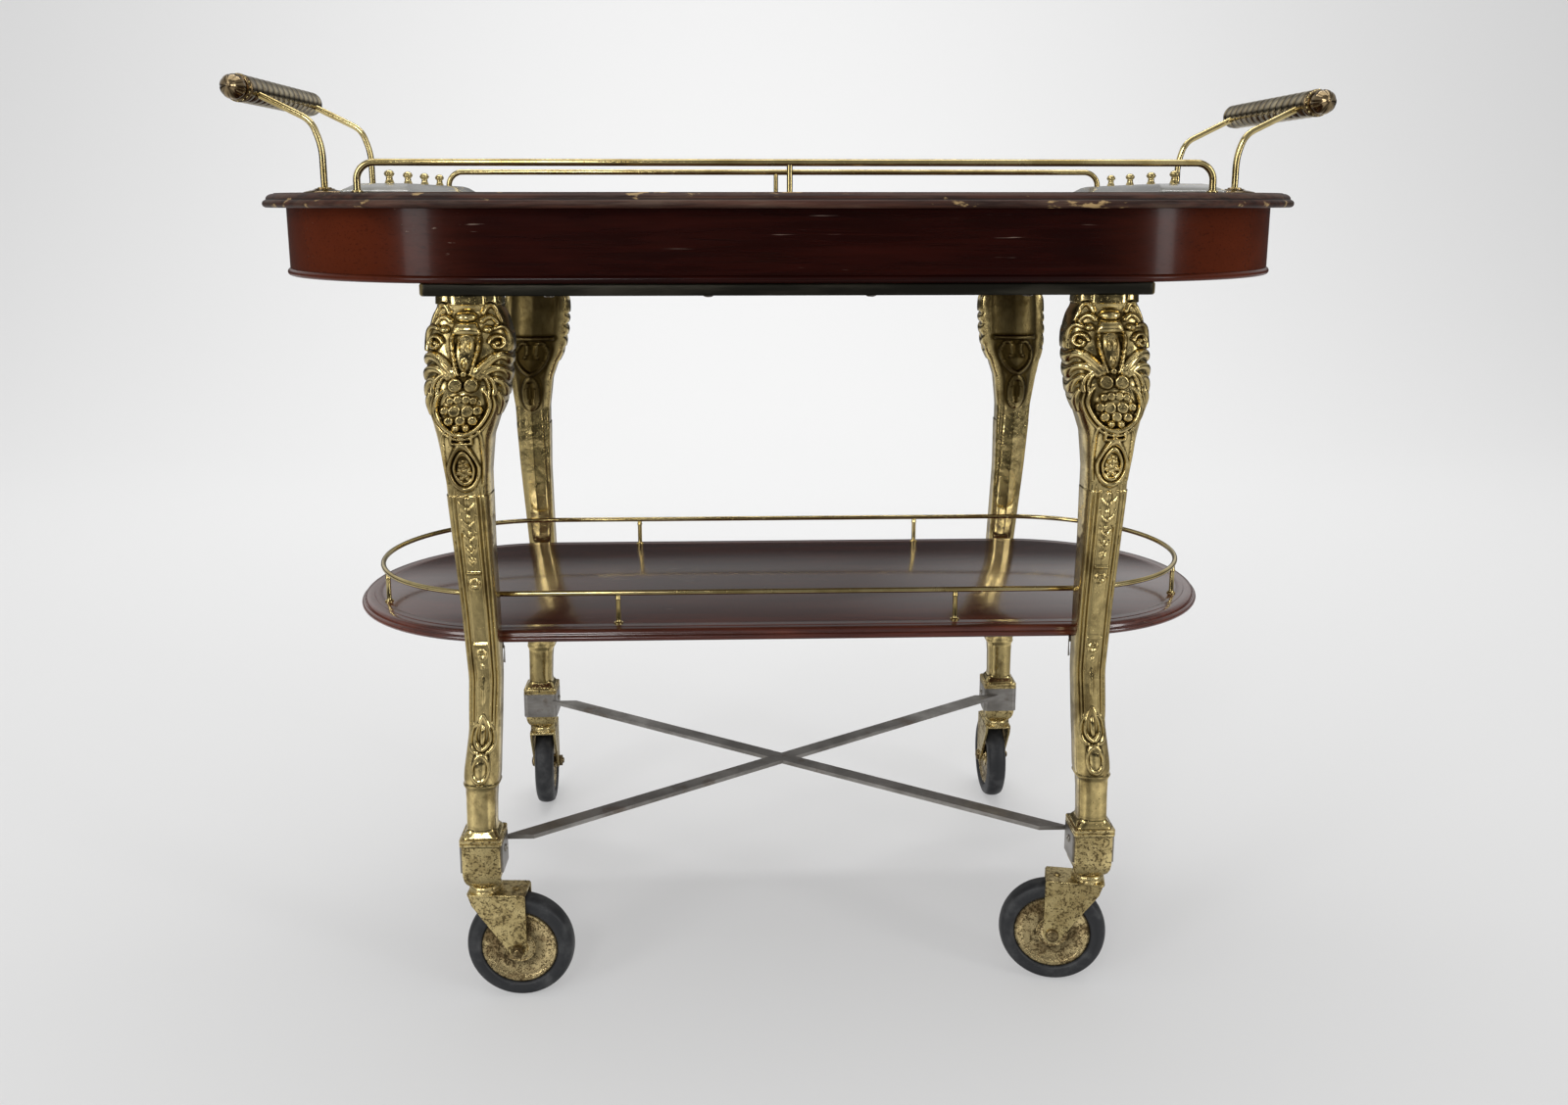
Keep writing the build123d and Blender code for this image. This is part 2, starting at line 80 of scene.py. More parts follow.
class Shape:
    # Points in millimetres and faces, and the painted shade at each point, 0 to 1, from how sheltered it is.

    def __init__(self, points, faces, paintedShade=None):
        self.points = np.asarray(points, float).reshape(-1, 3)
        self.faces = list(faces)
        self.paintedShade = np.zeros(len(self.points)) if paintedShade is None else np.asarray(paintedShade).ravel()

    def __add__(self, other):
        start = len(self.points)
        moved = [tuple(start + v for v in face) for face in other.faces]
        return Shape(
            np.vstack([self.points, other.points]),
            self.faces + moved,
            np.concatenate([self.paintedShade, other.paintedShade]),
        )

    def moved(self, x=0.0, y=0.0, z=0.0):
        return Shape(self.points + np.array([x, y, z]), self.faces, self.paintedShade)

    def scaled(self, x=1.0, y=1.0, z=1.0):
        return Shape(self.points * np.array([x, y, z]), self.faces, self.paintedShade)

    def turnedZ(self, angle):
        c, s = cos(angle), sin(angle)
        turn = np.array([[c, -s, 0], [s, c, 0], [0, 0, 1]])
        return Shape(self.points @ turn.T, self.faces, self.paintedShade)

    def zTowards(self, direction):
        # Turns the shape so that its +Z points along direction.
        z = np.array(direction, float)
        z /= np.linalg.norm(z)
        helper = np.array([0.0, 0.0, 1.0]) if abs(z[2]) < 0.9 else np.array([1.0, 0.0, 0.0])
        x = np.cross(helper, z)
        x /= np.linalg.norm(x)
        y = np.cross(z, x)
        return Shape(self.points @ np.array([x, y, z]), self.faces, self.paintedShade)


def lathe(profile, segments=48):
    # profile is (radius, height) from bottom to top.
    angles = np.arange(segments) * 2 * pi / segments
    profile = [(max(r, 0.02), z) for r, z in profile]
    points = [[(r * cos(a), r * sin(a), z) for a in angles] for r, z in profile]
    return Shape(points, gridFaces(len(profile), segments))


def ringLathe(profile, segments=96):
    # A closed profile turned about Z, with no caps.
    angles = np.arange(segments) * 2 * pi / segments
    points = [[(r * cos(a), r * sin(a), z) for a in angles] for r, z in profile]
    return Shape(points, gridFaces(len(profile), segments, wrapRows=True))


def arc(centreR, centreZ, radius, start, end, count=8):
    angles = np.radians(np.linspace(start, end, count))
    return [(centreR + radius * cos(a), centreZ + radius * sin(a)) for a in angles]


def stadium(profile, straight, closed=False, bend=72):
    # Carries a profile of (radius, height) round two half circles and the straights.
    path = []
    for sign, first in ((1, -90), (-1, 90)):
        for angle in np.radians(np.linspace(first, first + 180, bend)):
            path.append((sign * straight / 2, cos(angle), sin(angle)))
    points = [[(x + r * c, r * s, z) for x, c, s in path] for r, z in profile]
    return Shape(points, gridFaces(len(profile), len(path), wrapRows=closed))


def tube(path, radius, segments=16):
    path = np.asarray(path, float)
    tangents = np.gradient(path, axis=0)
    tangents /= np.linalg.norm(tangents, axis=1)[:, None]
    helper = np.array([0.0, 1.0, 0.0]) if abs(tangents[0][1]) < 0.9 else np.array([1.0, 0, 0])
    across = np.cross(tangents[0], helper)
    across /= np.linalg.norm(across)
    rows = []
    for point, tangent in zip(path, tangents):
        across = across - tangent * np.dot(across, tangent)
        across /= np.linalg.norm(across)
        up = np.cross(tangent, across)
        rows.append(
            [point + radius * (cos(a) * across + sin(a) * up)
             for a in np.arange(segments) * 2 * pi / segments]
        )
    return Shape(rows, gridFaces(len(path), segments))


def bentPath(points, radii, steps=12):
    # Straight runs joined by tangent arcs.
    points = [np.array(p, float) for p in points]
    path = [points[0]]
    for before, corner, after, radius in zip(points, points[1:], points[2:], radii):
        a = (before - corner) / np.linalg.norm(before - corner)
        b = (after - corner) / np.linalg.norm(after - corner)
        half = np.arccos(np.clip(np.dot(a, b), -1, 1)) / 2
        centre = corner + (a + b) / np.linalg.norm(a + b) * radius / sin(half)
        start = corner + a * radius / np.tan(half) - centre
        end = corner + b * radius / np.tan(half) - centre
        sweep = pi - 2 * half
        for t in np.linspace(0, 1, steps):
            path.append(centre + (sin((1 - t) * sweep) * start + sin(t * sweep) * end) / sin(sweep))
    path.append(points[-1])
    dense = [path[0]]
    for a, b in zip(path, path[1:]):
        parts = max(1, int(np.linalg.norm(b - a) / 12))
        dense += [a + (b - a) * (i + 1) / parts for i in range(parts)]
    return dense


def roundedRectangle(halfX, halfY, corner, steps=6):
    outline = []
    for signX, signY, first in ((1, 1, 0), (-1, 1, 90), (-1, -1, 180), (1, -1, 270)):
        for a in np.radians(np.linspace(first, first + 90, steps)):
            outline.append((signX * (halfX - corner) + corner * cos(a),
                            signY * (halfY - corner) + corner * sin(a)))
    return np.array(outline)


def block(halfX, halfY, corner, levels, steps=6):
    # levels is (height, inset) from bottom to top.
    rows = []
    for z, inset in levels:
        outline = roundedRectangle(halfX - inset, halfY - inset, max(corner - inset, 0.4), steps)
        rows.append([(x, y, z) for x, y in outline])
    return Shape(rows, gridFaces(len(levels), 4 * steps))


def slab(outline, low, high):
    # An outline in XZ with this thickness in Y.
    rows = [[(x, y, z) for x, z in outline] for y in (low, high)]
    return Shape(rows, gridFaces(2, len(outline)))


def levelsFrom(low, high, lowEdge, highEdge):
    # Heights up from the bottom, then heights from the top, each with its inset.
    return [(low + z, inset) for z, inset in lowEdge] + [(high + z, inset) for z, inset in highEdge]


def link(name, data):
    made = bpy.data.objects.new(name, data)
    bpy.context.scene.collection.objects.link(made)
    return made


def meshOf(name, shape, angle):
    # In metres and smooth, with the edges sharper than angle left crisp.
    mesh = bpy.data.meshes.new(name)
    mesh.from_pydata((shape.points * mm).tolist(), [], shape.faces)
    # the painted shade goes on the mesh as a point attribute
    attribute = mesh.attributes.new("paintedShade", "FLOAT", "POINT")
    attribute.data.foreach_set("value", shape.paintedShade.astype(np.float32))
    work = bmesh.new()
    work.from_mesh(mesh)
    bmesh.ops.recalc_face_normals(work, faces=work.faces)
    work.to_mesh(mesh)
    work.free()
    mesh.polygons.foreach_set("use_smooth", [True] * len(mesh.polygons))
    mesh.set_sharp_from_angle(angle=radians(angle))
    return mesh


def settle(piece, body, nodes):
    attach(piece, body)
    if nodes:
        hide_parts(*nodes)


def addPiece(name, shape, material, nodes, body="frame", angle=40, bevel=0.0):
    piece = link(name, meshOf(name, shape, angle))
    piece.data.materials.append(material)
    if bevel:
        modifier = piece.modifiers.new("edges", "BEVEL")
        modifier.width = bevel * mm
        modifier.segments = 2
        modifier.limit_method = "ANGLE"
        modifier.angle_limit = radians(40)
    settle(piece, body, nodes)


def instanceTree():
    tree = bpy.data.node_groups.new("placeCopies", "GeometryNodeTree")
    face = tree.interface
    face.new_socket("Geometry", in_out="INPUT", socket_type="NodeSocketGeometry")
    face.new_socket("Copy", in_out="INPUT", socket_type="NodeSocketObject")
    face.new_socket("Finish", in_out="INPUT", socket_type="NodeSocketMaterial")
    face.new_socket("Geometry", in_out="OUTPUT", socket_type="NodeSocketGeometry")
    nodes, links = tree.nodes, tree.links
    given = nodes.new("NodeGroupInput")
    result = nodes.new("NodeGroupOutput")
    info = nodes.new("GeometryNodeObjectInfo")
    turn = nodes.new("GeometryNodeInputNamedAttribute")
    turn.data_type = "FLOAT_VECTOR"
    turn.inputs["Name"].default_value = "turn"
    toRotation = nodes.new("FunctionNodeEulerToRotation")
    place = nodes.new("GeometryNodeInstanceOnPoints")
    realise = nodes.new("GeometryNodeRealizeInstances")
    finish = nodes.new("GeometryNodeSetMaterial")
    links.new(given.outputs["Copy"], info.inputs["Object"])
    links.new(given.outputs["Geometry"], place.inputs["Points"])
    links.new(info.outputs["Geometry"], place.inputs["Instance"])
    links.new(turn.outputs["Attribute"], toRotation.inputs["Euler"])
    links.new(toRotation.outputs["Rotation"], place.inputs["Rotation"])
    links.new(place.outputs["Instances"], realise.inputs["Geometry"])
    links.new(realise.outputs["Geometry"], finish.inputs["Geometry"])
    links.new(given.outputs["Finish"], finish.inputs["Material"])
    links.new(finish.outputs["Geometry"], result.inputs["Geometry"])
    return tree


copyTree = instanceTree()
copyInputs = {
    item.name: item.identifier
    for item in copyTree.interface.items_tree
    if item.in_out == "INPUT"
}


def addCopies(name, shape, places, material, nodes=()):
    # places is (x, y, z, turnX, turnY, turnZ) for each copy.
    pattern = link(name + "Single", meshOf(name + "Single", shape, 40))
    mesh = bpy.data.meshes.new(name + "Points")
    mesh.from_pydata([tuple(v * mm for v in p[:3]) for p in places], [], [])
    turns = mesh.attributes.new("turn", "FLOAT_VECTOR", "POINT")
    turns.data.foreach_set("vector", [v for p in places for v in p[3:]])
    piece = link(name, mesh)
    modifier = piece.modifiers.new("copies", "NODES")
    modifier.node_group = copyTree
    modifier[copyInputs["Copy"]] = pattern
    modifier[copyInputs["Finish"]] = material
    bpy.context.view_layer.update()
    graph = bpy.context.evaluated_depsgraph_get()
    made = bpy.data.meshes.new_from_object(piece.evaluated_get(graph))
    piece.modifiers.clear()
    piece.data = made
    if not made.materials:
        made.materials.append(material)
    bpy.data.objects.remove(pattern)
    settle(piece, "frame", nodes)


class Value:
    # A node's output, with arithmetic.

    def __init__(self, shader, socket):
        self.shader = shader
        self.socket = socket

    def maths(self, operation, *others, swap=False):
        node = self.shader.tree.nodes.new("ShaderNodeMath")
        node.operation = operation
        values = [self, *others]
        if swap:
            values.reverse()
        for slotIn, value in zip(node.inputs, values):
            self.shader.put(slotIn, value)
        return Value(self.shader, node.outputs[0])

    def __add__(self, other):
        return self.maths("ADD", other)

    def __sub__(self, other):
        return self.maths("SUBTRACT", other)

    def __mul__(self, other):
        return self.maths("MULTIPLY", other)

    def __rsub__(self, other):
        return self.maths("SUBTRACT", other, swap=True)

    __radd__ = __add__
    __rmul__ = __mul__

    def step(self, low, high):
        # 0 below low, 1 above high, smooth between.
        return self.shader.node(
            "ShaderNodeMapRange", "Result", {"interpolation_type": "SMOOTHSTEP"},
            {"Value": self, "From Min": low, "From Max": high},
        )


class Shader:
    def __init__(self, name):
        self.material = bpy.data.materials.new(name)
        self.material.use_nodes = True
        self.tree = self.material.node_tree
        self.surface = self.tree.nodes["Principled BSDF"]
        self.place = self.node("ShaderNodeTexCoord", "Object")

    def put(self, socket, value):
        if isinstance(value, Value):
            self.tree.links.new(value.socket, socket)
        else:
            socket.default_value = value

    def node(self, kind, output, settings=None, inputs=None):
        node = self.tree.nodes.new(kind)
        for key, value in (settings or {}).items():
            setattr(node, key, value)
        for key, value in (inputs or {}).items():
            self.put(node.inputs[key], value)
        return Value(self, node.outputs[output])

    def noise(self, scale, stretch=(1, 1, 1), detail=4.0, rough=0.55, twist=0.0):
        placed = self.node("ShaderNodeMapping", "Vector", {}, {"Vector": self.place, "Scale": stretch})
        return self.node(
            "ShaderNodeTexNoise", "Fac", {},
            {"Vector": placed, "Scale": scale, "Detail": detail, "Roughness": rough, "Distortion": twist},
        )

    def axis(self, letter):
        return self.node("ShaderNodeSeparateXYZ", letter, {}, {"Vector": self.place})

    def paintedShade(self):
        # the painted shade stored on each mesh, 0 to 1
        return self.node("ShaderNodeAttribute", "Fac", {"attribute_name": "paintedShade"})

    def blend(self, share, first, second):
        node = self.tree.nodes.new("ShaderNodeMix")
        node.data_type = "RGBA"
        self.put(node.inputs[0], share)
        for index, value in ((6, first), (7, second)):
            if not isinstance(value, Value):
                value = (*value, 1.0)
            self.put(node.inputs[index], value)
        return Value(self, node.outputs[2])

    def bump(self, height, strength, depth):
        return self.node(
            "ShaderNodeBump", "Normal", {},
            {"Height": height, "Strength": strength, "Distance": depth},
        )

    def finish(self, **values):
        for key, value in values.items():
            name = {"color": "Base Color", "roughness": "Roughness", "metallic": "Metallic",
                    "coat": "Coat Weight", "coatRoughness": "Coat Roughness",
                    "normal": "Normal", "specular": "Specular IOR Level"}[key]
            if key == "color" and not isinstance(value, Value):
                value = (*value, 1.0)
            self.put(self.surface.inputs[name], value)
        return self.material


def legBrass():
    s = Shader("legBrass")
    stain = s.noise(44, (1, 1, 0.6), detail=6, rough=0.6)
    pits = s.noise(480, detail=4, rough=0.7).step(0.60, 0.69)
    drift = s.noise(9, (1, 1, 0.35))
    # painted shade in the hollows, its edge broken up by the real stain
    hollow = (s.paintedShade() * 1.4 + (stain - 0.5) * 0.4).step(0.14, 0.95)
    bright = s.blend(drift.step(0.35, 0.7), (0.66, 0.52, 0.235), (0.50, 0.385, 0.16))
    tinted = s.blend(stain.step(0.50, 0.68) * 0.72, bright, (0.19, 0.13, 0.048))
    tinted = s.blend(hollow, tinted, (0.055, 0.036, 0.010))
    color = s.blend(pits * 0.55, tinted, (0.10, 0.065, 0.02))
    rough = 0.13 + hollow * 0.25 + stain.step(0.5, 0.7) * 0.14
    wave = s.noise(36, detail=2)
    height = s.noise(130, detail=5, rough=0.6) * 0.6 + wave * 4.0 - pits * 0.3
    return s.finish(color=color, metallic=1.0, roughness=rough, normal=s.bump(height, 0.45, 0.0007))


def wornBrass(name, pale, brown, speckled):
    s = Shader(name)
    blotch = s.noise(60, detail=6, rough=0.65)
    grit = s.noise(700, detail=3, rough=0.6)
    coarse = s.noise(300, detail=4, rough=0.6)
    patch = blotch.step(0.40, 0.62)
    dark = (grit * 0.5 + coarse * 0.5 + patch * 0.06).step(0.535 - speckled, 0.60 - speckled)
    color = s.blend(patch, pale, brown)
    color = s.blend(dark * 0.85, color, (0.075, 0.050, 0.020))
    # painted shade where the mesh marks points as sheltered
    color = s.blend(s.paintedShade(), color, (0.012, 0.008, 0.003))
    height = coarse * 0.5 - dark * 0.4
    return s.finish(color=color, metallic=0.92, roughness=0.22 + dark * 0.25 + patch * 0.08,
                    normal=s.bump(height, 0.5, 0.0008))


def railBrass(name, pale, brown, shine):
    s = Shader(name)
    drift = s.noise(26, detail=5)
    spots = s.noise(190, detail=4, rough=0.7).step(0.58, 0.70)
    # painted shade in the grooves and hollows
    hollow = s.paintedShade().step(0.15, 0.8)
    color = s.blend(drift.step(0.4, 0.65), pale, brown)
    color = s.blend(spots * 0.6, color, (0.14, 0.09, 0.03))
    color = s.blend(hollow, color, (0.045, 0.028, 0.010))
    return s.finish(color=color, metallic=1.0, roughness=shine + spots * 0.22,
                    normal=s.bump(drift, 0.10, 0.0006))


def darkBar():
    s = Shader("darkBar")
    reach = s.axis("X").maths("ABSOLUTE")
    worn = (reach + (s.noise(30) - 0.5) * 0.004).step(0.3055, 0.3095)
    stain = s.noise(60, (0.15, 1, 1), detail=6)
    dull = s.blend(stain.step(0.4, 0.65), (0.014, 0.013, 0.009), (0.040, 0.036, 0.026))
    color = s.blend(worn, dull, (0.38, 0.29, 0.12))
    return s.finish(color=color, metallic=0.85, roughness=0.34 + stain * 0.15,
                    normal=s.bump(stain, 0.2, 0.0006))


def mahogany(name, dark, red, endLight, endLightFrom, sheen, gloss, mirror):
    s = Shader(name)
    grain = s.noise(34, (0.22, 3.4, 3.4), detail=8, rough=0.62, twist=0.6)
    figure = s.noise(3.2, (0.8, 2.4, 2.4), detail=3, twist=1.2)
    pores = s.noise(260, (0.06, 2.2, 2.2), detail=3).step(0.56, 0.68)
    # painted light and reflection: the ends are lighter and warmer where the curved apron ends catch the
    # lamps and the shelf ends mirror the brass legs
    ends = s.axis("X").maths("ABSOLUTE").step(endLightFrom, endLightFrom + 0.16)
    body = s.blend((grain * 0.7 + figure * 0.5 - 0.1).step(0.35, 0.75), dark, red)
    body = s.blend(ends * (0.35 + figure * 0.6), body, endLight)
    body = s.blend(pores * 0.4, body, (0.008, 0.002, 0.001))
    scuff = s.noise(90, (0.16, 5, 5), detail=3).step(0.69, 0.74) * s.noise(5).step(0.5, 0.62)
    body = s.blend(scuff * 0.5, body, (0.36, 0.27, 0.21))
    brushed = s.noise(120, (0.05, 1, 4), detail=4)
    rough = sheen + scuff * 0.3 + brushed * 0.12
    return s.finish(color=body, roughness=rough, coat=gloss - scuff * gloss * 0.6, coatRoughness=0.10,
                    specular=mirror, normal=s.bump(grain * 0.4 + brushed * 0.6, 0.12, 0.0009))


def wornEdge():
    s = Shader("wornEdge")
    grain = s.noise(40, (0.2, 3, 3), detail=8, rough=0.62, twist=0.4)
    rub = s.noise(22, (0.35, 0.8, 4), detail=6, rough=0.65)
    chips = s.noise(60, (0.45, 1, 1), detail=5, rough=0.6).step(0.60, 0.66)
    body = s.blend(grain.step(0.35, 0.7), (0.016, 0.006, 0.004), (0.062, 0.022, 0.013))
    body = s.blend(rub.step(0.46, 0.74) * 0.7, body, (0.105, 0.066, 0.046))
    # painted shade along the ledge under the moulding
    body = s.blend(s.paintedShade().step(0.2, 0.8), body, (0.008, 0.005, 0.004))
    body = s.blend(chips * 0.8, body, (0.40, 0.27, 0.12))
    return s.finish(color=body, roughness=0.42 + rub * 0.25, coat=0.05, coatRoughness=0.25,
                    specular=0.18, normal=s.bump(rub * 0.6 + grain * 0.4, 0.12, 0.0010))


def plainWood():
    s = Shader("plainWood")
    grain = s.noise(30, (0.2, 3, 3), detail=7)
    color = s.blend(grain.step(0.35, 0.7), (0.10, 0.055, 0.032), (0.17, 0.10, 0.06))
    return s.finish(color=color, roughness=0.62 + grain * 0.1)


def stripGlaze():
    s = Shader("stripGlaze")
    cloud = s.noise(14, (1, 0.4, 1), detail=4)
    fleck = s.noise(240, detail=3).step(0.64, 0.72)
    color = s.blend(cloud.step(0.35, 0.65), (0.20, 0.198, 0.18), (0.38, 0.375, 0.345))
    color = s.blend(fleck * 0.4, color, (0.55, 0.53, 0.46))
    return s.finish(color=color, roughness=0.16 + cloud * 0.10, coat=0.8, coatRoughness=0.06)


def greySteel():
    s = Shader("greySteel")
    streak = s.noise(60, (0.4, 0.4, 1), detail=6, rough=0.65)
    rust = s.noise(24, detail=6, rough=0.7).step(0.56, 0.68)
    color = s.blend(streak.step(0.35, 0.7), (0.24, 0.225, 0.205), (0.42, 0.40, 0.375))
    color = s.blend(rust * 0.55, color, (0.135, 0.085, 0.05))
    return s.finish(color=color, metallic=0.95, roughness=0.30 + streak * 0.18,
                    normal=s.bump(streak, 0.15, 0.0006))


def screwSteel():
    s = Shader("screwSteel")
    streak = s.noise(150, detail=5)
    color = s.blend(streak.step(0.4, 0.65), (0.36, 0.34, 0.30), (0.13, 0.11, 0.085))
    return s.finish(color=color, metallic=1.0, roughness=0.28 + streak * 0.2)


def rubber():
    s = Shader("rubber")
    dust = s.noise(46, detail=6, rough=0.65)
    fine = s.noise(520, detail=3)
    color = s.blend(dust.step(0.45, 0.75), (0.014, 0.015, 0.017), (0.052, 0.053, 0.054))
    return s.finish(color=color, roughness=0.42 + dust * 0.2, specular=0.45,
                    normal=s.bump(fine, 0.12, 0.0004))


finish = {
    "leg": legBrass(),
    "worn": wornBrass("socketBrass", (0.66, 0.53, 0.25), (0.50, 0.385, 0.17), -0.005),
    "hub": wornBrass("hubBrass", (0.62, 0.49, 0.25), (0.30, 0.21, 0.10), 0.02),
    "axle": wornBrass("axleBrass", (0.34, 0.26, 0.13), (0.16, 0.11, 0.05), 0.02),
    "rail": railBrass("railBrass", (0.64, 0.52, 0.25), (0.46, 0.35, 0.14), 0.14),
    "grip": railBrass("gripBrass", (0.46, 0.39, 0.25), (0.27, 0.21, 0.12), 0.20),
    "acorn": railBrass("acornBrass", (0.27, 0.20, 0.11), (0.17, 0.115, 0.055), 0.14),
    "bar": darkBar(),
    "apron": mahogany("apronWood", (0.008, 0.0009, 0.0005), (0.022, 0.0026, 0.0012),
                      (0.115, 0.021, 0.006), 0.24, 0.17, 0.10, 0.12),
    "shelf": mahogany("shelfWood", (0.045, 0.010, 0.006), (0.120, 0.028, 0.014),
                      (0.15, 0.036, 0.016), 0.30, 0.18, 0.8, 0.35),
    "edge": wornEdge(),
    "plain": plainWood(),
    "strip": stripGlaze(),
    "steel": greySteel(),
    "screw": screwSteel(),
    "rubber": rubber(),
}
print("finishes", len(finish))


# nose is the round lower edge and step the ledge over it, darkened with painted shade; edge is the moulding
# above them, each point its inset and its share of the height left
topSize = {
    "nose": 7.0, "step": 3.0,
    "edge": [(3.4, 0.10), (3.7, 0.30), (4.6, 0.52), (6.2, 0.72), (8.2, 0.86), (10.2, 0.90),
             (10.4, 0.97), (11.2, 1.0)],
}


def boardShape(low, high, size):
    nose, step = size["nose"], size["step"]
    r = (high[1] - low[1]) / 2
    base = low[2]
    ledge = base + nose + 0.6
    profile = [(r - nose * 1.2, base), (r - nose * 0.55, base)]
    profile += arc(r - nose / 2, base + nose / 2, nose / 2, -80, 80, 9)
    stepRow = len(profile)
    profile += [(r - step, base + nose + 0.05), (r - step - 0.3, ledge)]
    profile += [(r - inset, ledge + share * (high[2] - ledge)) for inset, share in size["edge"]]
    shape = stadium(profile, high[0] - low[0] - 2 * r)
    depth = np.zeros(len(profile))
    # painted shade along the ledge under the moulding
    depth[stepRow:stepRow + 2] = 0.9
    shape.paintedShade = np.repeat(depth, len(shape.points) // len(profile))
    return shape.moved((low[0] + high[0]) / 2, (low[1] + high[1]) / 2)


addPiece("topBoard", boardShape(boardLow, boardHigh, topSize), finish["edge"],
         ["top_board"])

apronSize = {"wall": 12.0, "creaseAngle": 30}
apronLow, apronHigh = boxOf("apron_left")
apronEnd = boxOf("apron_right")[1]
apronR = (apronHigh[1] - apronLow[1]) / 2
apronInside = apronR - apronSize["wall"]
apronStraight = apronEnd[0] - apronLow[0] - 2 * apronR
apronProfile = [(apronInside, apronLow[2]), (apronR, apronLow[2]), (apronR, apronHigh[2]),
                (apronInside, apronHigh[2])]
addPiece("apron", stadium(apronProfile, apronStraight, closed=True).moved(0, midY), finish["apron"],
         ["apron_left", "apron_right", "apron_front", "apron_back"],
         angle=apronSize["creaseAngle"])

beadLow, beadHigh = boxOf("apron_bead")
beadR = (beadHigh[1] - beadLow[1]) / 2
beadTall = beadHigh[2] - beadLow[2]
beadStraight = beadHigh[0] - beadLow[0] - 2 * beadR
beadProfile = [(apronInside, beadLow[2])]
beadProfile += arc(beadR - beadTall / 2, (beadLow[2] + beadHigh[2]) / 2, beadTall / 2, -90, 90, 12)
beadProfile += [(apronInside, beadHigh[2])]
addPiece("apronBead", stadium(beadProfile, beadStraight, closed=True).moved(0, midY), finish["apron"],
         ["apron_bead"])

panel = frame["nodes"]["bottom_panel"]
panel.data.materials.clear()
panel.data.materials.append(finish["plain"])

# Heights from the bottom and from the top face, with their insets
railBarSize = {
    "corner": 6.0,
    "lowEdge": [(0.0, 1.2), (1.2, 0.2), (1.8, 0.0)],
    "highEdge": [(-1.6, 0.0), (-0.8, 0.3), (0.0, 1.0)],
}
for face in faceSign:
    low, high = boxOf("rail_bar_" + face)
    half = (high - low) / 2
    levels = levelsFrom(low[2], high[2], railBarSize["lowEdge"], railBarSize["highEdge"])
    shape = block(half[0], half[1], railBarSize["corner"], levels)
    addPiece("railBar_" + face, shape.moved(0, (low[1] + high[1]) / 2), finish["bar"],
             ["rail_bar_" + face])
print("top done")


# Each station: height above the floor, half width, half depth, outward X, outward Y, squareness
legSize = {
    "footX": 282.0, "footY": 191.0, "shelfScrew": 9.0, "shaftLevels": 236, "kneeLevels": 306,
    "outerPoints": 122, "innerPoints": 50,
    "stations": [
        (161.5, 17.0, 17.0, 0.0, 0.0, 7.0),
        (162.6, 17.0, 17.0, 0.0, 0.0, 7.0),
        (168.0, 13.7, 13.7, 0.0, 0.0, 4.0),
        (172.0, 13.4, 13.4, 0.0, 0.0, 3.6),
        (196.0, 13.7, 13.7, -0.8, 0.2, 3.4),
        (208.0, 14.4, 14.4, -1.4, 0.6, 3.2),
        (213.0, 16.8, 16.4, -2.0, 0.8, 3.0),
        (224.0, 17.0, 16.6, -2.6, 1.0, 3.0),
        (242.0, 16.0, 15.8, -4.6, 0.8, 3.0),
        (262.0, 15.0, 15.0, -6.8, 0.0, 3.4),
        (314.0, 14.6, 14.2, -9.4, -3.0, 4.0),
        (377.0, 16.4, 15.6, -7.0, -4.0, 4.0),
        (431.0, 17.9, 17.1, -4.5, -3.0, 4.0),
        (478.0, 19.8, 19.6, -3.4, 0.0, 3.6),
        (501.0, 20.6, 20.6, -3.1, 1.0, 3.2),
        (533.0, 25.0, 24.4, -2.7, 3.5, 2.9),
        (552.0, 30.4, 26.6, -4.2, 4.4, 2.8),
        (567.0, 35.4, 27.2, -6.2, 4.5, 2.7),
        (585.0, 36.6, 27.0, -8.0, 4.2, 2.7),
        (612.0, 36.8, 25.4, -10.4, 3.0, 2.7),
        (627.0, 35.6, 23.2, -11.0, 2.0, 2.8),
        (637.0, 32.6, 20.8, -11.0, 1.0, 3.0),
        (643.0, 28.6, 18.6, -11.0, 0.4, 3.4),
        (653.0, 28.0, 18.4, -11.0, 0.0, 3.6),
    ],
}


def dome(u, z, cu, cz, ru, rz):
    return np.sqrt(np.clip(1 - ((u - cu) / ru) ** 2 - ((z - cz) / rz) ** 2, 0, 1))


def ridge(distance, width):
    return np.sqrt(np.clip(1 - (distance / width) ** 2, 0, 1))


def loop(u, z, cu, cz, ru, rz, width):
    away = np.hypot((u - cu) / ru, (z - cz) / rz) - 1
    return ridge(away * np.minimum(ru, rz), width)


def stroke(u, z, points, startWidth, endWidth):
    # A raised line along a smooth path, tapering from one width to the other.
    points = np.array(points, float)
    knots = np.linspace(0, 1, len(points))
    fine = np.linspace(0, 1, 6 * len(points))
    bendU = np.polyfit(knots, points[:, 0], min(3, len(points) - 1))
    bendZ = np.polyfit(knots, points[:, 1], min(3, len(points) - 1))
    pathU, pathZ = np.polyval(bendU, fine), np.polyval(bendZ, fine)
    best = np.zeros_like(u)
    for i in range(len(fine) - 1):
        du, dz = pathU[i + 1] - pathU[i], pathZ[i + 1] - pathZ[i]
        along = np.clip(((u - pathU[i]) * du + (z - pathZ[i]) * dz) / (du * du + dz * dz), 0, 1)
        gap = np.hypot(u - pathU[i] - along * du, z - pathZ[i] - along * dz)
        width = startWidth + (endWidth - startWidth) * (fine[i] + along * (fine[1] - fine[0]))
        best = np.maximum(best, ridge(gap, width) * width / max(startWidth, endWidth))
    return best


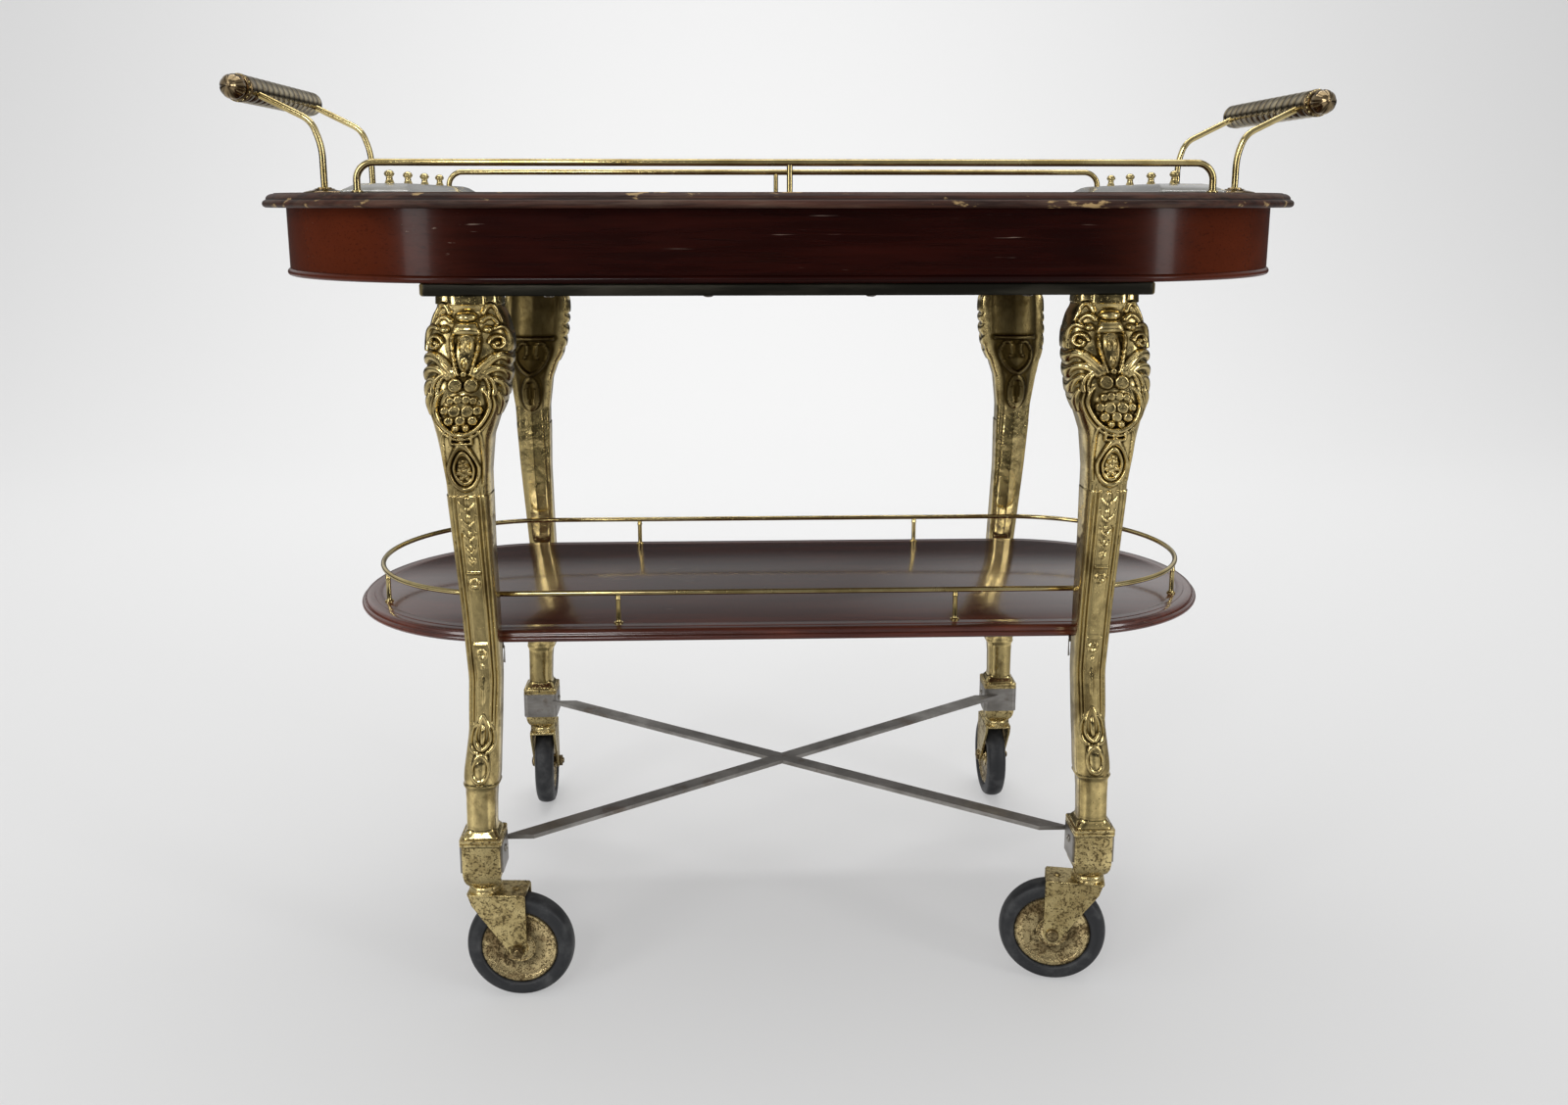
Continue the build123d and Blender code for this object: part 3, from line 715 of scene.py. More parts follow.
def curl(u, z, cu, cz, radius, width, hand):
    # A ring that winds in to a small boss.
    angle = np.arctan2(z - cz, (u - cu) * hand)
    away = np.hypot(u - cu, z - cz)
    target = radius * (0.72 + 0.28 * angle / pi)
    return np.maximum(ridge(away - target, width), 0.8 * dome(u, z, cu, cz, radius * 0.34, radius * 0.34))


def gathered(forms):
    # The highest of the raised forms, in millimetres; each is (height, share).
    height = 0.0
    for amount, share in forms:
        height = np.maximum(height, amount * share)
    return height


def legRelief(u, z):
    # The chased ornament on a leg's outer face.
    m = np.abs(u)
    neck = ridge(m, 15.5) / (1 + np.exp(-(z - 642) / 1.0))
    collarWide = 8.6 + 0.42 * (631.5 - z)
    collar = ridge(m, collarWide) ** 0.5 * ridge(z - 626.6, 5.6)
    forms = [(3.0, neck), (4.8, dome(u, z, 0, 636.4, 9.4, 4.6)), (3.4, collar)]
    # leaves and scrolls down both sides of the knee
    forms += [
        (3.2, stroke(m, z, [(14, 640), (20, 646), (25, 641), (29, 632)], 2.6, 1.5)),
        (3.0, stroke(m, z, [(13, 633), (20, 636), (27, 629)], 2.6, 1.5)),
        (3.8, dome(m, z, 18.0, 626.0, 4.6, 3.2)),
        (3.2, stroke(m, z, [(24, 627), (31, 627), (35, 619), (36, 608)], 2.2, 1.5)),
        (3.6, curl(m, z, 25.8, 614.6, 6.6, 1.8, 1)),
        (3.6, stroke(m, z, [(10, 590), (20, 600), (29, 604), (38, 598)], 5.2, 3.2)),
        (4.2, stroke(m, z, [(12, 594), (20, 602), (29, 607)], 1.3, 1.0)),
        (3.2, stroke(m, z, [(13, 587), (23, 593), (32, 592), (38, 583)], 3.8, 2.6)),
        (2.8, stroke(m, z, [(26, 584), (32, 580), (36, 570)], 3.2, 2.0)),
        (2.4, stroke(m, z, [(29, 572), (32, 563), (31, 553)], 2.4, 1.5)),
    ]
    # lyre ribs with the beaded nose between them
    forms += [
        (4.8, stroke(m, z, [(10.9, 620), (10.7, 611), (8.6, 600), (5.6, 589)], 1.8, 1.6)),
        (2.2, dome(u, z, 0, 606, 9.0, 16)),
        (4.0, dome(m, z, 2.6, 612, 1.9, 6.0)),
        (4.0, dome(u, z, 0, 598, 2.3, 5.0)),
        (4.6, dome(u, z, 0, 589.6, 3.1, 3.1)),
    ]
    # bulbs, whiskers and the ring round the grapes
    openTop = 1 / (1 + np.exp(-(574 - z) / 1.4))
    belly = 0.14 * np.clip(562 - z, 0, 30)
    forms += [
        (5.6, dome(m, z, 6.7, 580, 6.4, 6.2)),
        (4.0, stroke(m, z, [(4, 588.5), (14, 590), (23, 584), (25, 572)], 1.5, 2.3)),
        (3.2, stroke(m, z, [(11, 587), (17, 586), (21, 580), (21.5, 572)], 1.2, 1.5)),
        (4.2, loop(u, z, 0, 561, 22.4 - belly, 24.0, 2.1) * openTop),
        (2.6, loop(u, z, 0, 560, 26.4 - belly, 27.0, 1.4) * openTop),
        (1.6, dome(u, z, 0, 557, 18.0, 17.0)),
    ]
    grapes = [(-9.5, 567, 3.6), (-3.2, 568, 3.9), (3.6, 568, 3.9), (10, 567, 3.5), (-13.4, 558.5, 4.6),
              (-5.0, 558, 5.6), (5.8, 558, 5.4), (14, 558.5, 4.2), (-9.8, 550, 4.8), (0.4, 550, 5.0),
              (10, 549.5, 4.6), (-4.2, 543.6, 3.8), (4.4, 543.4, 3.8)]
    forms += [(2.6 + 0.5 * r, dome(u, z, cu, cz, r, r)) for cu, cz, r in grapes]
    # framed boss
    frameGap = np.maximum(m - 8.6, np.abs(z - 534) - 4.6)
    forms += [(3.4, ridge(frameGap, 1.5)), (3.6, dome(u, z, 0, 534, 2.8, 2.8)),
              (3.0, stroke(m, z, [(12, 541), (16, 536), (17, 527)], 1.9, 1.3))]
    # teardrop medallion with a pine cone
    width = 12.6 - 0.22 * np.clip(z - 508, 0, 40)
    forms += [
        (3.6, loop(u, z, 0, 508, width, 19.6, 1.8)),
        (3.0, loop(u, z, 0, 507, width * 0.66, 13.6, 1.4)),
        (1.8, dome(u, z, 0, 506, 6.5, 12.0)),
        (2.2, stroke(m, z, [(17, 527), (17, 512), (15.4, 492)], 1.7, 1.4)),
    ]
    cone = [(0, 514, 2.4), (-2.6, 509.5, 2.6), (2.6, 509.5, 2.6), (0, 505, 2.8), (-4.6, 503, 2.6),
            (4.6, 503, 2.6), (-2.6, 498.5, 2.6), (2.6, 498.5, 2.6)]
    forms += [(3.2, dome(u, z, cu, cz, r, r)) for cu, cz, r in cone]
    # husks hanging down the shaft
    for cz, r in [(477, 7.6), (461, 6.4), (446.5, 5.0), (434, 3.8), (424, 2.6)]:
        forms += [(3.0, dome(u, z, 0, cz + 1, r * 0.42, r * 0.7)),
                  (2.8, stroke(m, z, [(0, cz - r), (r * 0.9, cz - r * 0.2), (r, cz + r * 0.7)], 1.5, 1.0))]
    # fillets down the shaft
    shaft = 1 / (1 + np.exp(-(486 - z) / 4)) / (1 + np.exp(-(z - 268) / 4))
    taper = 0.80 + 0.20 * np.clip((z - 280) / 190, 0, 1)
    forms += [(1.7, ridge(m - line * taper, 1.1) * shaft) for line in (8.2, 11.6, 15.0)]
    forms += [(1.0, ridge(np.clip(m - 6.0 * taper, 0, None), 1.2) * shaft)]
    # bars, hearts, dots and the long drop
    bar = np.where(m < 6.4, 1.0, 0.0)
    forms += [(2.8, ridge(z - cz, 1.5) * bar) for cz in (412, 346)]
    forms += [
        (2.8, loop(u, z, 0, 402, 4.0, 3.6, 1.3)),
        (2.6, loop(u, z, 0, 337, 3.6, 3.4, 1.2)),
        (2.6, dome(u, z, 0, 326, 2.0, 2.0)),
        (2.4, dome(u, z, 0, 304, 2.6, 15)),
    ]
    # flame and oval boss at the ankle
    forms += [
        (3.2, stroke(m, z, [(1.0, 249), (6.4, 257), (5.6, 268), (0.4, 280)], 2.3, 1.2)),
        (2.4, stroke(m, z, [(5.0, 246), (10.5, 253), (10.0, 264), (7.5, 273)], 2.0, 1.1)),
        (2.8, dome(u, z, 0, 262, 2.8, 10)),
        (3.0, loop(u, z, 0, 230.5, 7.2, 12.6, 1.7)),
        (2.6, dome(u, z, 0, 230.5, 5.8, 11.0)),
    ]
    return gathered(forms)


def innerRelief(u, z):
    # A keeled inner face with a heart of two scrolls and a small oval below it.
    m = np.abs(u)
    return gathered([
        (3.2, stroke(m, z, [(1.0, 538), (12, 546), (19, 558), (15, 570)], 2.6, 2.0)),
        (2.8, stroke(m, z, [(15, 571), (8, 574), (5, 566), (8, 557)], 2.2, 1.6)),
        (2.6, loop(u, z, 0, 517, 8.6, 16, 2.2)),
        (2.2, stroke(m, z, [(3, 506), (5, 517), (3, 528)], 1.8, 1.3)),
        (2.4, ridge(z - 579, 2.4) * np.where(m < 26, 1.0, 0.0)),
    ])


def softened(field, passes):
    for _ in range(passes):
        field = (field + np.roll(field, 1, 1) + np.roll(field, -1, 1)) / 3
        padded = np.pad(field, ((1, 1), (0, 0)), mode="edge")
        field = (padded[:-2] + padded[1:-1] + padded[2:]) / 3
    return field


def legShape(face, side, box):
    # A rounded square section that swells at the knee, chased outside and keeled inside.
    table = np.array(legSize["stations"])
    low, high = box
    z = np.concatenate([[low[2], 162.4, 163.4], np.linspace(165, 479, legSize["shaftLevels"]),
                        np.linspace(479.6, high[2], legSize["kneeLevels"])])
    columns = [np.interp(z, table[:, 0], table[:, k]) for k in range(1, 6)]
    kernel = np.ones(9) / 9
    for k in (0, 1, 2, 3):
        smooth = np.convolve(np.pad(columns[k], 4, mode="edge"), kernel, mode="valid")
        columns[k] = np.where(z > 214, smooth, columns[k])
    halfW, halfD, outX, outY, square = [c[:, None] for c in columns]
    turnOuter = np.linspace(-pi / 2, pi / 2, legSize["outerPoints"], endpoint=False)
    turnInner = np.linspace(pi / 2, 3 * pi / 2, legSize["innerPoints"], endpoint=False)
    turn = np.concatenate([turnOuter, turnInner])[None, :]
    share = np.sin(turn)
    u = halfW * share
    v = halfD * np.sign(np.cos(turn)) * np.clip(1 - np.abs(share) ** square, 0, 1) ** (1 / square)
    z = z[:, None] + 0 * u
    steepU = np.sign(u) * np.abs(u / halfW) ** (square - 1) / halfW
    steepV = np.sign(v) * np.abs(v / halfD) ** (square - 1) / halfD
    size = np.hypot(steepU, steepV) + 1e-9
    normalU, normalV = steepU / size, steepV / size
    outer = np.clip((normalV + 0.55) / 0.7, 0, 1)
    outer = outer * outer * (3 - 2 * outer)
    inner = np.clip((-normalV - 0.3) / 0.5, 0, 1) / (1 + np.exp(-(z - 216) / 2))
    relief = legRelief(u, z) * outer * np.interp(z, [480, 500], [1.0, 1.22])
    relief += innerRelief(u, z) * inner
    keel = inner * 4.0 * np.clip(1 - np.abs(u) / (0.95 * halfW), 0, 1)
    keel -= inner * np.interp(z, [380, 560], [1.0, 6.4])  # room for the keel and heart inside the knee
    sunk = np.where(z > 482, 1.5, 0.7) * (z > 214) * (z < 646)
    push = relief + keel - sunk * outer
    # painted shade in the hollows of the chasing, from how far each point sits below its softened
    # surroundings
    hollow = np.clip((softened(relief, 9) - relief) / 1.6, 0, 1)
    hollow += 0.55 * inner / (1 + np.exp(-(z - 500) / 6))  # painted shade on the upper inner faces, which sit in the shadow under the top
    u = u + normalU * push
    v = v + normalV * push
    lean = abs(joints["swivel_" + face + "_" + side]["pos_m"][0]) / mm - legSize["footX"]
    upright = (z - low[2]) / (high[2] - low[2])  # a bent leg's foot stands off its head's line
    x = sideSign[side] * (legSize["footX"] + lean * (1 - upright) + outX + u)
    y = midY + faceSign[face] * (legSize["footY"] + outY + v)
    points = np.stack([np.clip(x, low[0], high[0]), np.clip(y, low[1], high[1]), z], -1)
    return Shape(points, gridFaces(*u.shape), hollow)


for face, side in corners:
    node = "leg_" + face + "_" + side
    addPiece(node + "_cast", legShape(face, side, boxOf(node)), finish["leg"], [node],
             angle=70)
print("legs done")


# Heights from the bottom and from the top, with their insets from the lip
socketSize = {
    "corner": 3.2,
    "foot": [(0.0, 8.6), (0.8, 6.3), (3.0, 4.5), (7.0, 2.8), (12.0, 1.8), (16.0, 1.6)],
    "head": [(-8.0, 1.6), (-7.0, 1.6), (-6.2, 1.9), (-6.0, 0.0), (-3.6, 0.0), (-3.2, 0.9), (-2.8, 0.9),
             (-2.4, 0.0), (-0.4, 0.0), (0.0, 0.5)],
    "groove": (-7.1, -6.1),
}
for face, side in corners:
    node = "caster_socket_" + face + "_" + side
    low, high = boxOf(node)
    centre = (low + high) / 2
    lip = (high[0] - low[0]) / 2
    levels = levelsFrom(low[2], high[2], socketSize["foot"], socketSize["head"])
    socket = block(lip, lip, socketSize["corner"], levels)
    below = socket.points[:, 2] - high[2]
    grooveLow, grooveHigh = socketSize["groove"]
    # painted shadow in the gap under the lip
    socket.paintedShade = ((below > grooveLow) & (below < grooveHigh)).astype(float)
    addPiece("socket_" + face + "_" + side, socket.moved(centre[0], centre[1]), finish["worn"],
             [node])

for node in ("socket_brackets", "shelf_brackets", "stretcher_bar_a", "stretcher_bar_b"):
    carried = frame["nodes"][node]
    carried.data.materials.clear()
    carried.data.materials.append(finish["steel"])

# Radius and height of each head; the spots are shares of the bar's middle reach
screwSize = {
    "bar": (5.0, 2.5), "barReach": 0.66, "barSpots": (-0.5, -0.17, 0.17, 0.5),
    "shelf": (4.0, 2.0), "shelfInwards": 38.48, "shelfBelow": 3.0,
    "socket": (3.5, 2.0), "socketInwards": 19.5, "socketBelow": 16.08,
}


def screwShape(radius, tall):
    # A round head with a slot across it.
    rings = [(radius, 0.0), (radius, 0.25 * tall), (0.86 * radius, 0.62 * tall),
             (0.60 * radius, 0.88 * tall), (0.30 * radius, 0.98 * tall), (0.0, tall)]
    head = lathe(rings, 40)
    across = np.abs(head.points[:, 1])
    near = (across < 0.16 * radius) & (head.points[:, 2] > 0.3 * tall)
    head.points[near, 2] -= 0.35 * tall
    return head


heads = {"bar": [], "shelf": [], "socket": []}
shelfLow, shelfHigh = boxOf("lower_shelf")
for face, fy in faceSign.items():
    barLow, barHigh = boxOf("rail_bar_" + face)
    for share in screwSize["barSpots"]:
        x = share * screwSize["barReach"] * (barHigh[0] - barLow[0])
        heads["bar"].append((x, (barLow[1] + barHigh[1]) / 2, barLow[2], pi, 0, 0.4 + 3 * share))
    for side, sx in sideSign.items():
        swivelX, swivelY = np.array(joints["swivel_" + face + "_" + side]["pos_m"][:2]) / mm
        x, y = sx * (legSize["footX"] - legSize["shelfScrew"]), swivelY - fy * screwSize["shelfInwards"]
        heads["shelf"].append((x, y, shelfLow[2] - screwSize["shelfBelow"], pi, 0, 0.7))
        z = boxOf("caster_socket_" + face + "_" + side)[1][2] - screwSize["socketBelow"]
        heads["socket"].append((swivelX - sx * screwSize["socketInwards"], swivelY, z, 0, -sx * pi / 2, 0))
for kind, places in heads.items():
    addCopies("screws_" + kind, screwShape(*screwSize[kind]), places, finish["screw"],
              ["screws"] if kind == "bar" else [])
print("sockets done")


shelfSize = {
    "nose": 5.6, "step": 2.8,
    "edge": [(3.2, 0.10), (3.6, 0.42), (5.2, 0.66), (8.4, 0.80), (12.6, 0.84), (13.0, 0.93),
             (16.0, 0.97), (19.6, 0.98), (20.4, 0.93), (21.4, 1.0)],
}
addPiece("lowerShelf", boardShape(shelfLow, shelfHigh, shelfSize), finish["shelf"],
         ["lower_shelf"])

railLow = boxOf("gallery_rail_left")[0]
railHigh = boxOf("gallery_rail_right")[1]
rodR = (railHigh[2] - railLow[2]) / 2
railZ = (railHigh[2] + railLow[2]) / 2
galleryR = (railHigh[1] - railLow[1]) / 2 - rodR
galleryStraight = railHigh[0] - railLow[0] - 2 * rodR - 2 * galleryR
# foot is (radius, height) up from the shelf and collar the same down from the rail
gallerySize = {
    "rodSides": 14, "postX": 157.0, "endAngle": 28.0,
    "foot": [(4.2, 0), (4.2, 0.9), (3.4, 1.6), (2.7, 2.0), (2.3, 3.2)],
    "collar": [(2.3, -6.4), (2.9, -5.8), (2.9, -5.0), (2.4, -4.4), (2.4, 0)],
}
rodAngles = np.arange(gallerySize["rodSides"]) * 2 * pi / gallerySize["rodSides"]
rod = [(galleryR + rodR * cos(a), railZ + rodR * sin(a)) for a in rodAngles]
addPiece("galleryRail", stadium(rod, galleryStraight, closed=True).moved(0, midY), finish["rail"],
         ["gallery_rail_left", "gallery_rail_right", "gallery_rail_front", "gallery_rail_back"])

postTall = railZ - shelfHigh[2]
postProfile = gallerySize["foot"] + [(r, postTall + z) for r, z in gallerySize["collar"]]
postSpots = [(sx * gallerySize["postX"], midY + fy * galleryR) for sx in (-1, 1) for fy in (-1, 1)]
endTurn = radians(gallerySize["endAngle"])
postSpots += [(sx * (galleryStraight / 2 + galleryR * cos(endTurn)), midY - galleryR * sin(endTurn))
              for sx in (-1, 1)]
addCopies("galleryPosts", lathe(postProfile, 24), [(x, y, shelfHigh[2], 0, 0, 0) for x, y in postSpots],
          finish["rail"], ["gallery_posts"])
print("shelf done")


topRailSize = {
    "bend": 15.0, "foot": [(5.0, 0), (5.0, 0.8), (4.2, 1.5), (3.2, 1.8), (3.2, 2.6)],
    "postR": 2.45, "postInset": 2.5,
}
railFoot = lathe(topRailSize["foot"], 24)
for face in faceSign:
    low, high = boxOf("top_rail_" + face)
    r = (high[1] - low[1]) / 2
    y = (low[1] + high[1]) / 2
    start, end, top = low[0] + r, high[0] - r, high[2] - r
    path = bentPath([(start, y, low[2]), (start, y, top), (end, y, top), (end, y, low[2])],
                    [topRailSize["bend"], topRailSize["bend"]])
    shape = tube(path, r)
    for x in (start, end):
        shape = shape + railFoot.moved(x, y, boardHigh[2])
    addPiece("topRail_" + face, shape, finish["rail"], ["top_rail_" + face])
topPostLow, topPostHigh = boxOf("top_rail_posts")
postR, postInset = topRailSize["postR"], topRailSize["postInset"]
topPostTall = topPostHigh[2] - boardHigh[2]
addCopies("topRailPosts", lathe([(postR, 0), (postR, topPostTall - 4), (postR, topPostTall)], 24),
          [(0, y, boardHigh[2], 0, 0, 0) for y in (topPostLow[1] + postInset, topPostHigh[1] - postInset)],
          finish["rail"], ["top_rail_posts"])

# Heights and insets as for the rail bars; the ends slope in by endSlope
stripSize = {
    "corner": 6.0, "rim": 1.2, "endSlope": 26.0, "endFrom": 120,
    "lowEdge": [(0.0, 0.0), (1.2, 0.0), (1.8, 0.5)],
    "highEdge": [(-1.4, 6.5), (-0.4, 9.0), (0.0, 11.0)],
}
# Shares of the knob's radius and height
knobSize = {
    "neck": [(0.92, 0), (0.94, 0.05), (0.86, 0.09), (0.82, 0.16), (0.70, 0.26), (0.62, 0.36),
             (0.66, 0.42), (0.60, 0.46)],
    "band": [(0.99, 0.69), (1.0, 0.71), (1.0, 0.73), (0.99, 0.75)],
    "ballR": 0.96, "ballZ": 0.72, "ballTall": 0.28, "perStrip": 4,
}


def knobShape(radius, tall):
    # A flattened ball with a band round it, on a wide spool neck.
    def ball(first, last, count):
        angles = np.radians(np.linspace(first, last, count))
        middle, tallness = knobSize["ballZ"], knobSize["ballTall"]
        return [(knobSize["ballR"] * cos(a), middle + tallness * sin(a)) for a in angles]

    profile = knobSize["neck"] + ball(-52, -8, 7) + knobSize["band"] + ball(9, 90, 9)
    return lathe([(r * radius, z * tall) for r, z in profile], 32)


for side in sideSign:
    low, high = boxOf("end_strip_" + side)
    half = (high - low) / 2
    levels = levelsFrom(low[2], high[2], stripSize["lowEdge"], stripSize["highEdge"])
    shape = block(half[0], half[1], stripSize["corner"], levels)
    along = shape.points[:, 1].copy()
    rise = (shape.points[:, 2] - low[2] - stripSize["rim"]) / (high[2] - low[2] - stripSize["rim"])
    slope = stripSize["endSlope"] * np.clip(rise, 0, 1) ** 2
    shape.points[:, 1] -= np.sign(along) * slope * (np.abs(along) > stripSize["endFrom"])
    addPiece("endStrip_" + side, shape.moved((low[0] + high[0]) / 2, midY), finish["strip"],
             ["end_strip_" + side])
    knobLow, knobHigh = boxOf("knobs_" + side)
    r = (knobHigh[0] - knobLow[0]) / 2
    places = [((knobLow[0] + knobHigh[0]) / 2, y, high[2], 0, 0, 0)
              for y in np.linspace(knobLow[1] + r, knobHigh[1] - r, knobSize["perStrip"])]
    addCopies("knobs_" + side + "_turned", knobShape(r, knobHigh[2] - high[2]), places, finish["rail"],
              ["knobs_" + side])
print("rails done")

# plate and collar are (radius, height); the plate's are shares of its half sizes
handleSize = {
    "rod": 3.0, "plateX": 38.0, "plateY": 26.5, "plateZ": 5.2, "turns": 14, "wrapDepth": 1.3,
    "gripSides": 56, "stepsPerTurn": 14, "ribs": 9, "ribDepth": 0.075,
    "beads": 16, "beadR": 1.25, "beadInset": 1.15, "beadBehind": 3.5,
    "studs": 14, "studR": 0.9, "studRingX": 5.0, "studRingY": 4.4, "studZ": 4.4,
    "plate": [(1.0, 0.0), (1.0, 0.12), (0.97, 0.22), (0.80, 0.36), (0.60, 0.52), (0.47, 0.66),
              (0.46, 0.76), (0.34, 0.80), (0.33, 0.94), (0.27, 1.0)],
}


def gripShape(radius, length, turns):
    # A bar wrapped in a spiral cord, along +Y from 0.
    rows, paintedShade = [], []
    segments = handleSize["gripSides"]
    steps = turns * handleSize["stepsPerTurn"]
    angles = np.arange(segments) * 2 * pi / segments
    for y in np.linspace(0, length, steps):
        phase = turns * y / length - angles / (2 * pi)
        wave = np.abs(np.sin(pi * phase)) ** 0.55
        r = radius - handleSize["wrapDepth"] * (1 - wave)
        endGap = min(y, length - y)
        if endGap < 5:
            r = np.minimum(r, radius - 5 + sqrt(max(25 - (5 - endGap) ** 2, 0)))
        rows.append([(ri * cos(a), y, ri * sin(a)) for ri, a in zip(r, angles)])
        # painted shade in the grooves between the cord's turns
        paintedShade.append(np.clip(1.25 - 1.9 * wave, 0, 1))
    return Shape(rows, gridFaces(steps, segments), np.array(paintedShade))


def acornShape(length, radius):
    # Collar and ribbed acorn along +Z.
    body = [(radius * 0.80, 6.0)]
    bodyTall = length - 6.0
    for t in np.linspace(0, 1, 16):
        swell = sin(pi * (0.24 + 0.70 * t)) ** 0.75
        share = 0.96 - max(t - 0.9, 0) * 2
        body.append((radius * swell * share, 6.6 + t * (bodyTall - 2.6)))
    body += [(radius * 0.16, length - 1.2), (radius * 0.10, length - 0.3), (0, length)]
    acorn = lathe(body, 112)
    x, y, z = acorn.points.T
    rib = np.abs(np.cos(np.arctan2(y, x) * handleSize["ribs"] / 2)) ** 0.25
    inside = np.clip((z - 7) / 4, 0, 1) * np.clip((length - 1.5 - z) / 4, 0, 1)
    acorn.points[:, :2] *= (1 - handleSize["ribDepth"] * (1 - rib) * inside)[:, None]
    # painted shade in the grooves between the ribs
    acorn.paintedShade = (1 - rib) * inside * 1.3
    collar = [(0.2, 0), (0.9, 0.5), (0.9, 1.2), (0.0, 1.7), (-0.6, 3.4), (-0.6, 4.6), (-0.2, 5.2),
              (-0.4, 6.0)]
    collar = [(radius + proud, z) for proud, z in collar] + [(radius * 0.78, 6.3)]
    return lathe(collar, 64) + acorn


def ballShape(radius, rows, segments):
    return lathe(arc(0, 0, radius, -90, 90, rows), segments)


def ringPlaces(count, x, y, z, reachX, reachY=0.0, reachZ=0.0):
    # Places round a ring about (x, y, z), flat when reachZ is 0 and upright when reachY is.
    angles = np.arange(count) * 2 * pi / count
    return [(x + reachX * cos(a), y + reachY * sin(a), z + reachZ * sin(a), 0, 0, 0) for a in angles]


for side, sx in sideSign.items():
    gripLow, gripHigh = boxOf("grip_" + side)
    r = (gripHigh[0] - gripLow[0]) / 2
    gx, gz = (gripLow[0] + gripHigh[0]) / 2, (gripLow[2] + gripHigh[2]) / 2
    grip = gripShape(r, gripHigh[1] - gripLow[1], handleSize["turns"])
    addPiece("grip_" + side + "_wrapped", grip.moved(gx, gripLow[1], gz), finish["grip"],
             ["grip_" + side], angle=60)
    endLow, endHigh = boxOf("finial_" + side)
    acorn = acornShape(endHigh[1] - endLow[1], r - 0.7).zTowards((0, -1, 0))
    addPiece("finial_" + side + "_acorn", acorn.moved(gx, endHigh[1], gz), finish["acorn"],
             ["finial_" + side], angle=50)
    reach = r - handleSize["beadInset"]
    ring = ringPlaces(handleSize["beads"], gx, endHigh[1] - handleSize["beadBehind"], gz, reach, reachZ=reach)
    addCopies("beads_" + side, ballShape(handleSize["beadR"], 9, 12), ring, finish["rail"])
    rodLow, rodHigh = boxOf("handle_rods_" + side)
    rodR = handleSize["rod"]
    footX = rodLow[0] + rodR if sx > 0 else rodHigh[0] - rodR
    rise = gz - boardHigh[2]
    kneeZ = gz - 0.42 * abs(gx - footX)
    plate = lathe(handleSize["plate"], 64)
    plate = plate.scaled(handleSize["plateX"] / 2, handleSize["plateY"] / 2, handleSize["plateZ"])
    rods, plates, studs = [], [], []
    for y in (rodLow[1] + rodR, rodHigh[1] - rodR):
        path = bentPath([(footX, y, rodLow[2]), (footX, y, boardHigh[2] + 0.45 * rise),
                         (footX + sx * 8.0, y, kneeZ), (gx - sx * (r - 8.0), y, gz - 1.3)], [60.0, 22.0])
        rods.append(tube(path, rodR, 20))
        plates.append(plate.moved(footX, y, boardHigh[2]))
        studs += ringPlaces(handleSize["studs"], footX, y, boardHigh[2] + handleSize["studZ"],
                            handleSize["studRingX"], handleSize["studRingY"])
    addPiece("handleRods_" + side, rods[0] + rods[1], finish["rail"], ["handle_rods_" + side])
    addPiece("handlePlates_" + side, plates[0] + plates[1], finish["acorn"],
             ["handle_plates"] if side == "left" else [])
    addCopies("plateBeads_" + side, ballShape(handleSize["studR"], 7, 10), studs, finish["rail"])
print("handles done")

# Profiles are (radius, height); heights start at the swivel for the cup, rivet and stem, at
# the cheek for the head, nut and tip, and at the disc's face for the hub
casterSize = {
    "halfTyre": 11.0, "halfWidth": 15.0, "socketGap": 8.0, "plateThick": 3.0, "cheekThick": 2.5,
    "cheekBack": -15.5, "cheekEndR": 8.0, "bevel": 0.35,
    "cup": [(15.0, -0.5), (15.0, 1.6), (14.4, 2.0), (14.4, 2.6), (15.0, 3.0), (14.9, 4.6), (14.1, 6.2),
            (13.0, 7.0), (11.0, 7.0), (11.0, 7.6), (5.0, 7.6)],
    "rivet": [(3.2, -0.2), (3.1, 0.6), (2.3, 1.3), (1.0, 1.6), (0, 1.7)],
    "stem": [(3.9, 0.0), (3.9, 38.0), (3.2, 39.5)],
    "shankR": 3.95,
    "head": [(6.4, 0.0), (6.5, 0.8), (6.0, 2.0), (4.6, 3.0), (2.4, 3.5), (0, 3.6)],
    "nut": [(6.5, 0.0), (6.5, 3.4), (6.2, 4.0)],
    "tip": [(3.5, 3.9), (3.5, 5.2), (2.6, 5.9)],
    "hubR": 35.5, "discInset": 3.0, "shadedRing": 15.8,
    "hub": [(4.05, 3.5), (7.6, 3.5), (8.2, 2.8), (8.5, 1.0), (9.4, 0.6), (13.2, 0.5), (13.8, 1.0),
            (14.8, 0.9), (15.2, 0.0), (16.4, -0.3), (24.0, -0.5), (30.5, -0.2), (31.3, 0.5),
            (33.1, 0.9), (34.9, 1.0), (35.5, 0.6)],
}


def lifted(profile, z, sign=1):
    # The profile with its heights measured from z, downwards when sign is -1.
    rows = [(r, z + sign * up) for r, up in profile]
    return rows if sign > 0 else rows[::-1]


